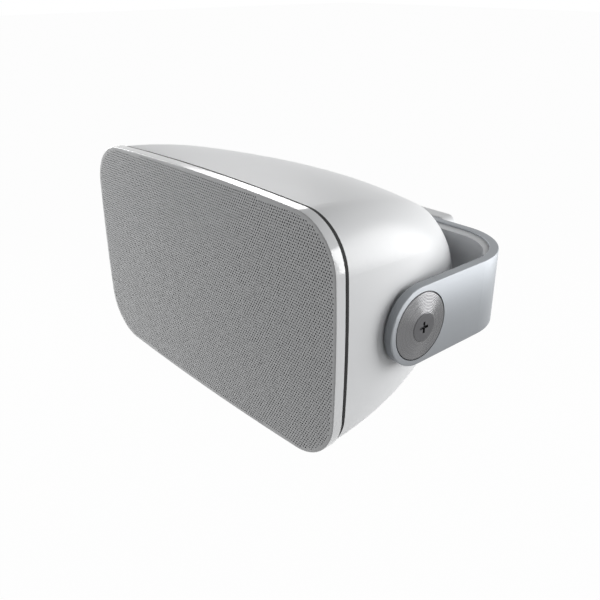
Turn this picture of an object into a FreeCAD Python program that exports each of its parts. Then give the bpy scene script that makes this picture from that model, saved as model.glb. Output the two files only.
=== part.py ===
"""Outdoor patio speaker: a tapering moulded cabinet that tilts in a U-shaped wall bracket.

Frame: millimetres, X along the cabinet, Z up, the wall at Y = 0 and the grille facing -Y.
The origin is the middle of the wall plate's back face. Depths are counted from the front of
the grille towards the wall, and every piece is then set back by the overall depth.
"""
import FreeCAD, Part
import math
import os
import re
import Sketcher
from FreeCAD import Placement, Rotation, Vector

doc = FreeCAD.newDocument("patio_speaker")

# Driving dimensions in millimetres, and what each one is
DIMENSIONS = {
    "front_width": (280.0, "grille, left to right"),
    "front_height": (168.6, "grille, bottom to top"),
    "front_corner": (35.8, "corner radius of the front outline"),
    "long_bow": (2.26, "how far the long edges bow out"),
    "short_bow": (1.09, "how far the short edges bow out"),
    "round_fit": (0.1, "radial clearance of a fixed round piece in its hole"),
    "panel_fit": (0.4, "clearance round a panel in its frame"),
    "edge_break": (0.3, "bevel on turned edges"),
    "slide_fit": (0.3, "clearance between pieces that move past each other"),
    # Grille
    "grille_skirt": (7.4, "depth of the grille's folded side"),
    "grille_sheet": (1.0, "thickness of the grille metal"),
    "grille_edge": (0.5, "radius of the grille's folded edge"),
    "scrim_cloth": (0.4, "thickness of the cloth behind the grille"),
    "scrim_margin": (3.5, "grille edge to cloth edge"),
    "magnet_radius": (5.0, "grille magnet"),
    "magnet_height": (2.6, "grille magnet"),
    "magnet_post_wall": (1.5, "baffle post round each grille magnet"),
    "magnet_end_in": (14.0, "end magnets in from the grille's side"),
    "magnet_end_rise": (38.0, "end magnets from the middle"),
    "magnet_mid_x": (38.0, "middle magnets from the middle"),
    "magnet_mid_in": (14.6, "middle magnets in from the grille's top"),
    # Cabinet
    "seam_gap": (1.5, "open seam between grille skirt and cabinet"),
    "cabinet_inset": (0.9, "cabinet rim inside the grille's outline"),
    "taper_length": (181.2, "depth at which the cabinet's sides would meet"),
    "side_start": (2.49, "how late the ends start to draw in"),
    "side_end": (2.99, "how bluntly the ends draw in"),
    "crown_start": (1.73, "how late top and bottom start to draw in"),
    "crown_end": (2.16, "how bluntly top and bottom draw in"),
    "long_bow_growth": (4.98, "extra bow of the long edges over the taper length"),
    "short_bow_growth": (5.6, "extra bow of the short edges over the taper length"),
    "back_depth": (162.0, "front of the grille to the cabinet's back"),
    "shell_wall": (4.0, "cabinet wall"),
    "gasket_width": (4.5, "rubber frame round the baffle"),
    "gasket_rise": (4.2, "how far the rubber frame stands up into the grille"),
    "baffle_plate": (8.0, "front baffle"),
    "baffle_fit": (0.9, "clearance round the baffle, whose cabinet narrows behind it"),
    "frame_rebate": (5.0, "rebate in the baffle for both drive units"),
    "screw_in_x": (18.4, "corner screws in from the grille's side"),
    "screw_in_z": (19.6, "corner screws in from the grille's top"),
    "screw_mid_x": (18.0, "middle screws from the middle"),
    "screw_mid_in": (9.9, "middle screws in from the grille's top"),
    "boss_radius": (6.0, "screw boss in the cabinet"),
    "boss_length": (18.0, "screw boss in the cabinet"),
    "screw_head": (3.4, "radius of a screw head"),
    "screw_head_height": (2.2, "screw head"),
    "screw_shank": (1.7, "radius of a screw shank"),
    "screw_length": (14.0, "shank of the front screws"),
    "rear_screw_length": (8.0, "shank of the back screws"),
    "drive_radius": (1.3, "hexagon drive hole in a screw head"),
    "drive_depth": (1.3, "hexagon drive hole in a screw head"),
    # Woofer
    "woofer_x": (-52.0, "woofer axis from the middle"),
    "woofer_radius": (73.0, "woofer frame"),
    "woofer_flange": (3.0, "thickness of the frame's flange"),
    "woofer_opening": (60.0, "inner radius of the frame's flange"),
    "basket_wall": (2.0, "pressed metal of the frame"),
    "basket_depth": (38.0, "flange to the frame's rear plate"),
    "basket_ledge": (47.0, "outer radius of the spider's ledge"),
    "basket_seat": (30.0, "flange to the spider's ledge"),
    "window_width": (20.0, "window in the frame"),
    "surround_roll": (5.0, "radius of the surround's half roll"),
    "surround_skin": (0.8, "rubber of the surround"),
    "glue_land": (4.0, "width of each glued joint of a surround"),
    "spider_skin": (0.6, "pleated cloth of the spider"),
    "spider_pleat": (1.4, "height of the spider's pleats"),
    "cone_skin": (0.9, "cone paper"),
    "cone_depth": (21.0, "cone edge to neck"),
    "dust_cap_rise": (7.0, "height of the dust cap"),
    "dust_cap_radius": (19.5, "dust cap"),
    "coil_radius": (16.0, "inside of the voice coil former"),
    "former_wall": (0.5, "voice coil former"),
    "winding_wall": (1.0, "voice coil winding"),
    "winding_length": (12.0, "voice coil winding"),
    "coil_gap": (0.6, "air beside the voice coil"),
    "top_plate_radius": (40.0, "woofer top plate"),
    "top_plate": (5.0, "woofer top plate"),
    "magnet_ring": (42.0, "woofer magnet"),
    "magnet_bore": (24.0, "hole in the woofer magnet"),
    "magnet_thick": (15.0, "woofer magnet"),
    "yoke_plate": (5.0, "woofer back plate"),
    "pole_vent": (5.0, "vent hole in the pole"),
    "woofer_screw_ring": (68.5, "radius of the woofer's screw circle"),
    # Tweeter
    "tweeter_x": (78.0, "tweeter axis from the middle"),
    "tweeter_radius": (36.0, "tweeter faceplate"),
    "tweeter_plate": (3.0, "tweeter faceplate at its rim"),
    "tweeter_mouth": (23.0, "mouth of the waveguide"),
    "tweeter_throat": (16.4, "throat of the waveguide"),
    "dome_radius": (12.5, "tweeter dome"),
    "dome_rise": (4.5, "height of the dome"),
    "dome_skin": (0.5, "metal of the dome"),
    "dome_roll": (1.6, "radius of the dome's half roll"),
    "dome_land": (1.2, "glued rim of the dome's surround"),
    "tweeter_coil_length": (6.0, "tweeter voice coil"),
    "tweeter_top_plate": (3.0, "tweeter top plate"),
    "tweeter_magnet": (26.0, "tweeter magnet"),
    "tweeter_magnet_bore": (17.0, "hole in the tweeter magnet"),
    "tweeter_magnet_thick": (8.0, "tweeter magnet"),
    "tweeter_yoke": (4.0, "tweeter back plate"),
    "tweeter_screw_ring": (31.3, "radius of the tweeter's screw circle"),
    # Passive radiator in the back
    "radiator_x": (-42.0, "passive radiator axis from the middle"),
    "radiator_radius": (43.5, "passive radiator frame"),
    "radiator_frame": (2.6, "thickness of the radiator frame"),
    "radiator_opening": (34.0, "inner radius of the radiator frame"),
    "radiator_skin": (2.0, "radiator diaphragm"),
    "radiator_roll": (3.5, "radius of the radiator surround's half roll"),
    "radiator_land": (2.0, "glued joint of the radiator surround"),
    "radiator_weight": (10.0, "steel weight on the diaphragm"),
    "radiator_weight_height": (4.0, "steel weight on the diaphragm"),
    "radiator_screw_ring": (39.9, "radius of the radiator's screw circle"),
    # Terminals in the back
    "rear_seat": (148.0, "front of the grille to the flat seats in the back"),
    "housing_wall": (4.0, "wall round each flat seat"),
    "housing_floor": (5.0, "thickness of each flat seat"),
    "cup_x": (50.0, "terminal cup from the middle"),
    "cup_width": (64.0, "terminal cup flange"),
    "cup_height": (58.0, "terminal cup flange"),
    "cup_corner": (5.0, "corner radius of the cup flange"),
    "cup_flange": (2.5, "thickness of the cup flange"),
    "cup_border": (6.5, "flange width round the cup"),
    "cup_wall": (2.2, "wall of the cup"),
    "cup_depth": (24.0, "depth of the cup's floor"),
    "post_spread": (12.5, "each binding post from the cup's middle"),
    "post_radius": (3.0, "binding post"),
    "post_collar": (6.5, "collar of a binding post"),
    "post_collar_height": (3.0, "collar of a binding post"),
    "post_stand": (21.0, "binding post above the cup's floor"),
    "post_tail": (15.0, "binding post behind the cup's floor"),
    "post_thread_fit": (0.05, "running clearance of a thumb nut"),
    "lock_nut": (5.8, "corner radius of a lock nut"),
    "lock_nut_height": (4.0, "lock nut"),
    "board_nut_height": (2.6, "nut in front of the crossover board"),
    "spacer_radius": (5.5, "sleeve between the lock nut and the crossover board"),
    "nut_radius": (7.5, "thumb nut"),
    "nut_height": (12.0, "thumb nut"),
    "nut_lift": (1.5, "thumb nut above the collar"),
    "flute_radius": (1.1, "flute in a thumb nut"),
    # Crossover
    "board_width": (84.0, "crossover board"),
    "board_height": (62.0, "crossover board"),
    "board_thick": (1.6, "crossover board"),
    "inductor_radius": (13.0, "larger inductor"),
    "inductor_bore": (6.0, "hole in an inductor"),
    "inductor_height": (13.0, "larger inductor"),
    "small_inductor_radius": (11.0, "smaller inductor"),
    "small_inductor_height": (11.0, "smaller inductor"),
    "capacitor_radius": (6.5, "capacitor"),
    "capacitor_length": (26.0, "capacitor"),
    "resistor_length": (22.0, "resistor"),
    "resistor_width": (9.5, "resistor"),
    "woofer_inductor_x": (-25.0, "larger inductor from the board's middle"),
    "woofer_inductor_z": (14.5, "larger inductor from the board's middle"),
    "tweeter_inductor_x": (26.0, "smaller inductor from the board's middle"),
    "tweeter_inductor_z": (16.0, "smaller inductor from the board's middle"),
    "capacitor_in": (4.0, "capacitors in from the board's left edge"),
    "capacitor_gap": (14.0, "between the two capacitors"),
    "capacitor_z": (-18.8, "capacitors from the board's middle"),
    "resistor_x": (-9.0, "resistor's left end from the board's middle"),
    "lead_radius": (1.5, "twin lead to a drive unit"),
    "lead_in": (4.0, "leads in from the board's edges"),
    "lead_low": (2.5, "woofer lead up from the board's lower edge"),
    "lead_ledge_in": (1.8, "woofer lead in from the edge of the spider's ledge"),
    "lead_tag": (8.0, "tweeter lead from the tweeter's axis"),
    "lead_run": (6.0, "unit of a lead's straight ends"),
    "wadding_depth": (34.0, "damping wadding"),
    "wadding_width": (102.0, "damping wadding"),
    "wadding_height": (92.0, "damping wadding"),
    "wadding_x": (-57.0, "middle of the wadding"),
    "wadding_round": (10.0, "rounding of the wadding's edges"),
    # Pivot
    "pivot_depth": (69.3, "front of the grille to the tilt axis"),
    "seat_in": (3.7, "tilt seat on the cabinet in from the grille's end"),
    "seat_radius": (21.0, "tilt seat on the cabinet"),
    "pivot_boss": (13.0, "boss inside the cabinet for the pivot nut"),
    "pivot_boss_length": (24.0, "boss inside the cabinet for the pivot nut"),
    "insert_radius": (6.5, "brass pivot nut"),
    "insert_length": (18.0, "brass pivot nut"),
    "pivot_bolt": (4.0, "radius of the pivot bolt"),
    "pivot_bolt_reach": (14.0, "pivot bolt inside the brass nut"),
    "bush_radius": (20.0, "nylon friction washer"),
    "bush_air": (0.1, "running clearance of the friction washer"),
    "disc_radius": (22.9, "turned disc over the pivot"),
    "disc_rim": (3.2, "thickness of the disc at its rim"),
    "disc_gap": (0.7, "dark ring round the disc"),
    "disc_recess": (3.1, "depth of the disc's recess in the arm"),
    "cap_radius": (9.6, "flat head of the pivot bolt"),
    "cap_proud": (2.6, "pivot bolt's head beyond the arm"),
    "cap_height": (2.6, "head of the pivot bolt"),
    "cross_width": (1.9, "cross recess in the head"),
    "cross_length": (8.0, "cross recess in the head"),
    "cross_depth": (1.6, "cross recess in the head"),
    # Bracket
    "arm_air": (2.7, "tilt seat to the bracket arm"),
    "strap_thick": (6.6, "bracket metal"),
    "strap_width": (55.0, "bracket, bottom to top"),
    "strap_edge": (0.8, "rounding of the bracket's edges"),
    "strap_bend": (49.5, "outer radius of the bracket's bends"),
    "back_gap": (4.6, "cabinet's back to the lining"),
    "cover_bend": (39.0, "inner radius of the lining's bends"),
    "cover_thick": (9.6, "lining behind the cabinet"),
    "cover_step": (1.2, "lining narrower than the bracket at each edge"),
    "cover_start": (15.0, "angle round the bend where the lining starts, in degrees"),
    "cover_taper": (10.0, "angle from the lining's outer tip to its inner tip, in degrees"),
    "plate_width": (148.0, "wall plate"),
    "plate_thick": (12.2, "wall plate"),
    "plate_height": (56.0, "wall plate"),
    "plate_corner": (8.0, "corner radius of the wall plate"),
    "plate_edge": (1.5, "rounding of the wall plate's front edge"),
    "wall_hole_x": (120.0, "wall screw holes, left to right"),
    "wall_hole_z": (30.0, "wall screw holes, bottom to top"),
    "wall_hole_radius": (2.75, "wall screw hole"),
    "access_radius": (5.5, "screwdriver hole through bracket and lining"),
    "bolt_spread": (60.0, "bracket bolts, left to right"),
    "bolt_head": (5.0, "bracket bolt head"),
    "bolt_head_height": (5.0, "bracket bolt head"),
    "bolt_radius": (3.0, "bracket bolt"),
    "bolt_reach": (9.0, "bracket bolt inside the wall plate"),
}

sizes = doc.addObject("Spreadsheet::Sheet", "Sizes")
for row, (alias, (amount, meaning)) in enumerate(DIMENSIONS.items(), start=1):
    sizes.set(f"A{row}", meaning)
    sizes.set(f"B{row}", str(amount))
    sizes.setAlias(f"B{row}", alias)
doc.recompute()


def formula(text):
    """Point each size named in the text at its cell in the sheet."""
    return re.sub(r"[a-z]\w+", lambda word: "Sizes." * (word[0] in DIMENSIONS) + word[0], text)


def amount_of(text):
    """What a formula comes to with the sheet's present sizes."""
    return float(sizes.evalExpression(formula(text)))


def bind(thing, field, text):
    thing.setExpression(field, formula(text))


# Places that several pieces share, as formulas
CABINET_FRONT = "(grille_skirt + seam_gap)"
BAFFLE_BACK = f"({CABINET_FRONT} + baffle_plate)"
FLANGE_BACK = f"({CABINET_FRONT} + frame_rebate)"
FLANGE_FRONT = f"({FLANGE_BACK} - woofer_flange)"
GRILLE_BACK = "(grille_sheet + scrim_cloth)"
SWING_RADIUS = "(back_depth - pivot_depth)"
COVER_FRONT = "(back_depth + back_gap)"
STRAP_INNER = f"({COVER_FRONT} + cover_thick)"
STRAP_BACK = f"({STRAP_INNER} + strap_thick)"
OVERALL_DEPTH = f"({STRAP_BACK} + plate_thick)"
SEAT_FACE = "(front_width / 2 - seat_in)"
ARM_FACE = f"({SEAT_FACE} + arm_air)"
ARM_OUTER = f"({ARM_FACE} + strap_thick)"
CAP_FACE = f"({ARM_OUTER} + cap_proud)"
CUP_FLOOR = "(rear_seat + cup_flange - cup_depth)"
BOARD_BACK = f"({CUP_FLOOR} - cup_wall - post_tail + 3 * board_thick)"
BOARD_FRONT = f"({BOARD_BACK} - board_thick)"


# Sketches, whose points are all tied to the sheet

def new_body(label, x="0", z="0"):
    """A body that is set back by the overall depth, so that its own Y is a depth."""
    body = doc.addObject("PartDesign::Body", label)
    body.Label = label
    place(body, x, "0", z)
    return body


def place(thing, x="0", depth="0", z="0"):
    bind(thing, "Placement.Base.x", x)
    bind(thing, "Placement.Base.y", f"{depth} - {OVERALL_DEPTH}")
    bind(thing, "Placement.Base.z", z)


def new_sketch(body, plane, offset="0"):
    """A sketch on one of the body's own planes, moved along the plane's normal."""
    sketch = body.newObject("Sketcher::SketchObject", body.Name + "_sketch")
    support = next(item for item in body.Origin.OriginFeatures if item.Role == plane)
    sketch.AttachmentSupport = [(support, "")]
    sketch.MapMode = "FlatFace"
    bind(sketch, "AttachmentOffset.Base.z", offset)
    return sketch


def constrain(sketch, kind, *where, size):
    """One constraint whose value is a formula."""
    index = sketch.addConstraint(Sketcher.Constraint(kind, *where, amount_of(size)))
    bind(sketch, f"Constraints[{index}]", size)


def pin(sketch, item, end, x, y):
    constrain(sketch, "DistanceX", item, end, size=x)
    constrain(sketch, "DistanceY", item, end, size=y)


def circle(sketch, x, y, radius):
    centre = Vector(amount_of(x), amount_of(y), 0)
    item = sketch.addGeometry(Part.Circle(centre, Vector(0, 0, 1), amount_of(radius)), False)
    pin(sketch, item, 3, x, y)
    constrain(sketch, "Radius", item, size=radius)


def sketch_arc(sketch, start, end, radius):
    """The short arc from start to end: it turns left where the radius is positive."""
    chord = end - start
    side = Vector(-chord.y, chord.x, 0).normalize()
    rise = math.sqrt(max(radius ** 2 - chord.Length ** 2 / 4, 0))
    centre = (start + end) / 2 + side * math.copysign(rise, radius)
    first, last = (start, end) if radius > 0 else (end, start)
    turn_from = math.atan2(first.y - centre.y, first.x - centre.x)
    turn_to = math.atan2(last.y - centre.y, last.x - centre.x)
    whole = Part.Circle(centre, Vector(0, 0, 1), abs(radius))
    item = sketch.addGeometry(Part.ArcOfCircle(whole, turn_from, turn_to), False)
    return item, (1, 2) if radius > 0 else (2, 1)


def outline(sketch, *corners):
    """A closed line through (x, y) corners. A third entry is the radius of an arc that leaves it."""
    spots = [Vector(amount_of(corner[0]), amount_of(corner[1]), 0) for corner in corners]
    pieces = []
    for corner, start, end in zip(corners, spots, spots[1:] + spots[:1]):
        if len(corner) == 3:
            item, ends = sketch_arc(sketch, start, end, amount_of(corner[2]))
            constrain(sketch, "Radius", item, size=f"abs({corner[2]})")
        else:
            item, ends = sketch.addGeometry(Part.LineSegment(start, end), False), (1, 2)
        pieces.append((item, ends))
    for corner, piece, following in zip(corners[1:] + corners[:1], pieces, pieces[1:] + pieces[:1]):
        sketch.addConstraint(Sketcher.Constraint("Coincident", piece[0], piece[1][1],
                                                 following[0], following[1][0]))
        pin(sketch, following[0], following[1][0], corner[0], corner[1])


def rectangle(sketch, x, y, width, height):
    """A plain rectangle about its middle."""
    left, right = f"{x} - {width} / 2", f"{x} + {width} / 2"
    low, high = f"{y} - {height} / 2", f"{y} + {height} / 2"
    outline(sketch, (left, low), (right, low), (right, high), (left, high))


def rounded_rectangle(sketch, width, height, corner):
    """A rectangle about the origin with round corners."""
    far_x, far_y = f"({width} / 2)", f"({height} / 2)"
    near_x, near_y = f"({far_x} - {corner})", f"({far_y} - {corner})"
    outline(sketch,
            (f"-{near_x}", f"-{far_y}"), (near_x, f"-{far_y}", corner),
            (far_x, f"-{near_y}"), (far_x, near_y, corner),
            (near_x, far_y), (f"-{near_x}", far_y, corner),
            (f"-{far_x}", near_y), (f"-{far_x}", f"-{near_y}", corner))


def bowed_outline(sketch, half_width, half_height, corner, long_bow, short_bow):
    """The cabinet's outline: four round corners joined by four slightly bowed edges."""
    centre_x = f"({half_width} - {corner} - {short_bow})"
    centre_y = f"({half_height} - {corner} - {long_bow})"
    long_radius = f"(({centre_x} ^ 2 + {long_bow} ^ 2) / (2 * {long_bow}) + {corner})"
    short_radius = f"(({centre_y} ^ 2 + {short_bow} ^ 2) / (2 * {short_bow}) + {corner})"
    across, up = amount_of(centre_x), amount_of(centre_y)
    long_arc, short_arc, round_arc = amount_of(long_radius), amount_of(short_radius), amount_of(corner)
    long_turn = math.asin(across / (long_arc - round_arc))
    short_turn = math.asin(up / (short_arc - round_arc))
    long_y = amount_of(half_height) - long_arc
    short_x = amount_of(half_width) - short_arc
    quarter = math.pi / 2
    bends = ((short_x, 0, short_arc, -short_turn, short_turn),
             (across, up, round_arc, short_turn, quarter - long_turn),
             (0, long_y, long_arc, quarter - long_turn, quarter + long_turn),
             (-across, up, round_arc, quarter + long_turn, 2 * quarter - short_turn),
             (-short_x, 0, short_arc, 2 * quarter - short_turn, 2 * quarter + short_turn),
             (-across, -up, round_arc, 2 * quarter + short_turn, 3 * quarter - long_turn),
             (0, -long_y, long_arc, 3 * quarter - long_turn, 3 * quarter + long_turn),
             (across, -up, round_arc, 3 * quarter + long_turn, 4 * quarter - short_turn))
    items = []
    for x, y, radius, turn_from, turn_to in bends:
        whole = Part.Circle(Vector(x, y, 0), Vector(0, 0, 1), radius)
        items.append(sketch.addGeometry(Part.ArcOfCircle(whole, turn_from, turn_to), False))
    for item, following in zip(items, items[1:] + items[:1]):
        sketch.addConstraint(Sketcher.Constraint("Tangent", item, 2, following, 1))
    signs = (("", ""), ("-", ""), ("-", "-"), ("", "-"))
    for item, (sign_x, sign_y) in zip(items[1::2], signs):
        pin(sketch, item, 3, sign_x + centre_x, sign_y + centre_y)
        constrain(sketch, "Radius", item, size=corner)
    for item, radius in zip(items[::2], (short_radius, long_radius) * 2):
        constrain(sketch, "Radius", item, size=radius)


def front_outline(sketch, inset):
    """The speaker's front outline, drawn in by an inset."""
    bowed_outline(sketch, f"(front_width / 2 - {inset})", f"(front_height / 2 - {inset})",
                  f"(front_corner - {inset})", "long_bow", "short_bow")


# Features

def add(body, kind, sketch, **settings):
    feature = body.newObject("PartDesign::" + kind, f"{body.Name}_{kind}")
    feature.Profile = sketch
    for field, entry in settings.items():
        setattr(feature, field, entry)
    return feature


def pad(body, draw, front, back):
    """Material between two depths, in the shape that draw puts into a sketch."""
    sketch = new_sketch(body, "XZ_Plane", f"0 - ({back})")
    draw(sketch)
    feature = add(body, "Pad", sketch)
    bind(feature, "Length", f"({back}) - ({front})")
    return feature


def pocket(body, draw, front, back):
    """The same, cut away."""
    sketch = new_sketch(body, "XZ_Plane", f"0 - ({front})")
    draw(sketch)
    feature = add(body, "Pocket", sketch)
    bind(feature, "Length", f"({back}) - ({front})")
    return feature


def turned(label, *corners, x="0", z="0"):
    """A piece turned about an axis along Y: each corner is (radius, depth)."""
    body = new_body(label, x, z)
    sketch = new_sketch(body, "XY_Plane")
    outline(sketch, *corners)
    add(body, "Revolution", sketch, ReferenceAxis=(sketch, ["V_Axis"]), Angle=360)
    return body


def round_edges(body, radius, chosen):
    """Round the edges of the body's tip that chosen picks."""
    doc.recompute()
    base = body.Tip
    names = [f"Edge{index}" for index, edge in enumerate(base.Shape.Edges, start=1) if chosen(edge)]
    feature = body.newObject("PartDesign::Fillet", body.Name + "_fillet")
    feature.Base = (base, names)
    bind(feature, "Radius", radius)
    return feature


def lies_at_depth(edge, depth):
    """Whether an edge lies in the plane at that depth, in its body's own Y."""
    box = edge.BoundBox
    return abs(box.YMin - depth) < 1e-3 and abs(box.YMax - depth) < 1e-3


def ring_of(body, feature, count):
    """Repeat the feature round the body's Y axis."""
    pattern = body.newObject("PartDesign::PolarPattern", body.Name + "_ring")
    pattern.Originals = [feature]
    pattern.Axis = (next(item for item in body.Origin.OriginFeatures if item.Role == "Y_Axis"), [""])
    pattern.Angle = 360
    bind(pattern, "Occurrences", count)
    body.Tip = pattern
    return pattern


def screws(label, spots, seat, length="screw_length", x="0", facing=-1, shape="screw"):
    """Screws along Y whose heads sit on the seat, to the front of it (-1) or behind it (1)."""
    body = new_body(label, x)
    body.AllowCompound = True
    head, tip = f"{seat} + {facing} * {shape}_head_height", f"{seat} - {facing} * {length}"
    drive = f"{head} - {facing} * drive_depth"
    shank = "screw_shank" if shape == "screw" else "bolt_radius"
    for radius, end in ((f"{shape}_head", head), (shank, tip)):
        front, back = (end, seat) if amount_of(end) < amount_of(seat) else (seat, end)
        pad(body, lambda sketch: [circle(sketch, *spot, radius) for spot in spots], front, back)
    front, back = (head, drive) if facing < 0 else (drive, head)
    pocket(body, lambda sketch: [hexagon(sketch, *spot, "drive_radius") for spot in spots], front, back)
    return piece(body)


def hexagon(sketch, x, y, radius):
    turns = [60 * corner for corner in range(6)]
    outline(sketch, *((f"{x} + {radius} * cos({turn} deg)", f"{y} + {radius} * sin({turn} deg)")
                      for turn in turns))


def ring_spots(radius, count, first_turn):
    """Spots evenly round a circle, for a screw circle."""
    step = 360 / count
    turns = [first_turn + step * item for item in range(count)]
    return [(f"{radius} * cos({turn} deg)", f"{radius} * sin({turn} deg)") for turn in turns]


def solid(kind, **fields):
    """A plain solid whose sizes are formulas."""
    thing = doc.addObject("Part::" + kind, kind.lower())
    for field, text in fields.items():
        bind(thing, field, text)
    return thing


ALONG_Y = Rotation(Vector(1, 0, 0), -90)
ALONG_X = Rotation(Vector(0, 1, 0), 90)


def rod(turn, x, depth, z, radius, length):
    """A cylinder that starts at a point and runs along +X or +Y."""
    thing = solid("Cylinder", Radius=radius, Height=length)
    thing.Placement = Placement(Vector(), turn)
    bind(thing, "Placement.Base.x", x)
    bind(thing, "Placement.Base.y", depth)
    bind(thing, "Placement.Base.z", z)
    return thing


def block(x, depth, z, width, length, height):
    """A box between its lowest corner and its sizes along X, Y and Z."""
    thing = solid("Box", Length=width, Width=length, Height=height)
    bind(thing, "Placement.Base.x", x)
    bind(thing, "Placement.Base.y", depth)
    bind(thing, "Placement.Base.z", z)
    return thing


def join(things):
    thing = doc.addObject("Part::MultiFuse", "join")
    thing.Shapes = things
    return thing


def cut(base, tool):
    thing = doc.addObject("Part::Cut", "cut")
    thing.Base, thing.Tool = base, tool
    return thing


def common(first, second):
    thing = doc.addObject("Part::Common", "common")
    thing.Base, thing.Tool = first, second
    return thing


def group(label, things):
    """Separate solids kept as one piece of work."""
    thing = doc.addObject("Part::Compound", label)
    thing.Links = things
    thing.Label = label
    place(thing)
    return thing


def named(thing, label):
    thing.Label = label
    place(thing)
    return thing


PIECES = []


def piece(thing):
    PIECES.append(thing)
    return thing


# Cabinet shell

STATIONS = [tenth / 10 for tenth in range(11)]


def cabinet_section(sketch, depth, inset):
    """The cabinet's cross-section at a depth: it keeps its corners as it draws in."""
    share = f"((({depth}) - {CABINET_FRONT}) / taper_length)"
    half_width = (f"((front_width / 2 - cabinet_inset) * (1 - {share} ^ side_start) ^ (1 / side_end)"
                  f" - {inset})")
    half_height = (f"((front_height / 2 - cabinet_inset) * (1 - {share} ^ crown_start) ^ (1 / crown_end)"
                   f" - {inset})")
    bowed_outline(sketch, half_width, half_height, f"(front_corner - {inset})",
                  f"(long_bow + long_bow_growth * {share})", f"(short_bow + short_bow_growth * {share})")


def tapering_body(label, inset, front):
    """A loft through the cross-sections whose back is a drum about the tilt axis."""
    body = doc.addObject("PartDesign::Body", label)
    sections = []
    for share in STATIONS:
        depth = f"({front} + (back_depth - {front}) * {share})"
        sketch = new_sketch(body, "XZ_Plane", f"0 - {depth}")
        cabinet_section(sketch, depth, inset)
        sections.append(sketch)
    loft = add(body, "AdditiveLoft", sections[0])
    loft.Sections = sections[1:]
    beyond = new_sketch(body, "YZ_Plane")
    reach = f"({SWING_RADIUS} - {inset})"
    high, far = f"({reach} * cos(10 deg))", f"(pivot_depth + 2 * {reach})"
    start = f"(pivot_depth + {reach} * sin(10 deg))"
    outline(beyond, (start, f"-{high}", reach), (start, high), (far, high), (far, f"-{high}"))
    add(body, "Pocket", beyond, Type=1, Midplane=True)
    return body


def seat_blocks():
    """Solid lumps in the back that the radiator and the terminal cup are let into."""
    front = "rear_seat - housing_floor"
    length = f"back_depth - ({front})"
    rim = "(panel_fit + housing_wall)"
    radiator_lump = rod(ALONG_Y, "radiator_x", front, "0", f"radiator_radius + {rim}", length)
    cup_lump = block(f"cup_x - cup_width / 2 - {rim}", front, f"0 - cup_height / 2 - {rim}",
                     f"cup_width + 2 * {rim}", length, f"cup_height + 2 * {rim}")
    return [radiator_lump, cup_lump]


def seat_cuts():
    """The flat seats, and the openings through them."""
    beyond = "back_depth - rear_seat + 1"
    through = "housing_floor + 2"
    return [
        rod(ALONG_Y, "radiator_x", "rear_seat", "0", "radiator_radius + panel_fit", beyond),
        rod(ALONG_Y, "radiator_x", "rear_seat - housing_floor - 1", "0",
            "radiator_opening", through),
        block("cup_x - cup_width / 2 - panel_fit", "rear_seat", "0 - cup_height / 2 - panel_fit",
              "cup_width + 2 * panel_fit", beyond, "cup_height + 2 * panel_fit"),
        block("cup_x - cup_width / 2 + cup_border - panel_fit", "rear_seat - housing_floor - 1",
              "0 - cup_height / 2 + cup_border - panel_fit",
              "cup_width - 2 * cup_border + 2 * panel_fit", through,
              "cup_height - 2 * cup_border + 2 * panel_fit"),
    ]


SCREW_SPOTS = [(f"{side} * (front_width / 2 - screw_in_x)", f"{level} * (front_height / 2 - screw_in_z)")
               for side in (-1, 1) for level in (-1, 1)]
SCREW_SPOTS += [("screw_mid_x", f"{level} * (front_height / 2 - screw_mid_in)") for level in (-1, 1)]
RADIATOR_SCREWS = ring_spots("radiator_screw_ring", 4, 45)
CUP_SCREWS = [(f"{side} * (cup_width - cup_border) / 2", f"{level} * (cup_height - cup_border) / 2")
              for side in (-1, 1) for level in (-1, 1)]


def cabinet_shell():
    outer = tapering_body("cabinet_outside", "0", CABINET_FRONT)
    inner = tapering_body("cabinet_inside", "shell_wall", CABINET_FRONT)
    walls = cut(outer, inner)
    bosses = [rod(ALONG_Y, x, BAFFLE_BACK, z, "boss_radius", "boss_length") for x, z in SCREW_SPOTS]
    for side in (-1, 1):
        start = f"{SEAT_FACE} - pivot_boss_length" if side == 1 else f"0 - {SEAT_FACE}"
        bosses.append(rod(ALONG_X, start, "pivot_depth", "0", "pivot_boss", "pivot_boss_length"))
        seat_start = f"{SEAT_FACE} - shell_wall" if side == 1 else f"0 - {SEAT_FACE}"
        bosses.append(rod(ALONG_X, seat_start, "pivot_depth", "0", "seat_radius", "shell_wall"))
    inside_lumps = common(join(bosses[:len(SCREW_SPOTS)] + seat_blocks()), outer)
    body = join([walls, inside_lumps] + bosses[len(SCREW_SPOTS):])
    holes = seat_cuts()
    for x, z in SCREW_SPOTS:
        holes.append(rod(ALONG_Y, x, f"{BAFFLE_BACK} - 1", z, "screw_shank + round_fit",
                         "screw_length - baffle_plate + 3"))
    for x, z in RADIATOR_SCREWS:
        holes.append(rod(ALONG_Y, f"radiator_x + {x}", "rear_seat - housing_floor - 1", z,
                         "screw_shank + round_fit", "housing_floor + 2"))
    for x, z in CUP_SCREWS:
        holes.append(rod(ALONG_Y, f"cup_x + {x}", "rear_seat - housing_floor - 1", z,
                         "screw_shank + round_fit", "housing_floor + 2"))
    for side in (-1, 1):
        proud = SEAT_FACE if side == 1 else "0 - front_width / 2 - 5"
        holes.append(rod(ALONG_X, proud, "pivot_depth", "0", "seat_radius + slide_fit",
                         f"front_width / 2 + 5 - {SEAT_FACE}"))
        hole = f"{SEAT_FACE} - insert_length" if side == 1 else f"0 - {SEAT_FACE} - 1"
        holes.append(rod(ALONG_X, hole, "pivot_depth", "0", "insert_radius + round_fit",
                         "insert_length + 1"))
    return piece(named(cut(body, join(holes)), "cabinet_shell"))


# Front: baffle, gasket, grille

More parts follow.
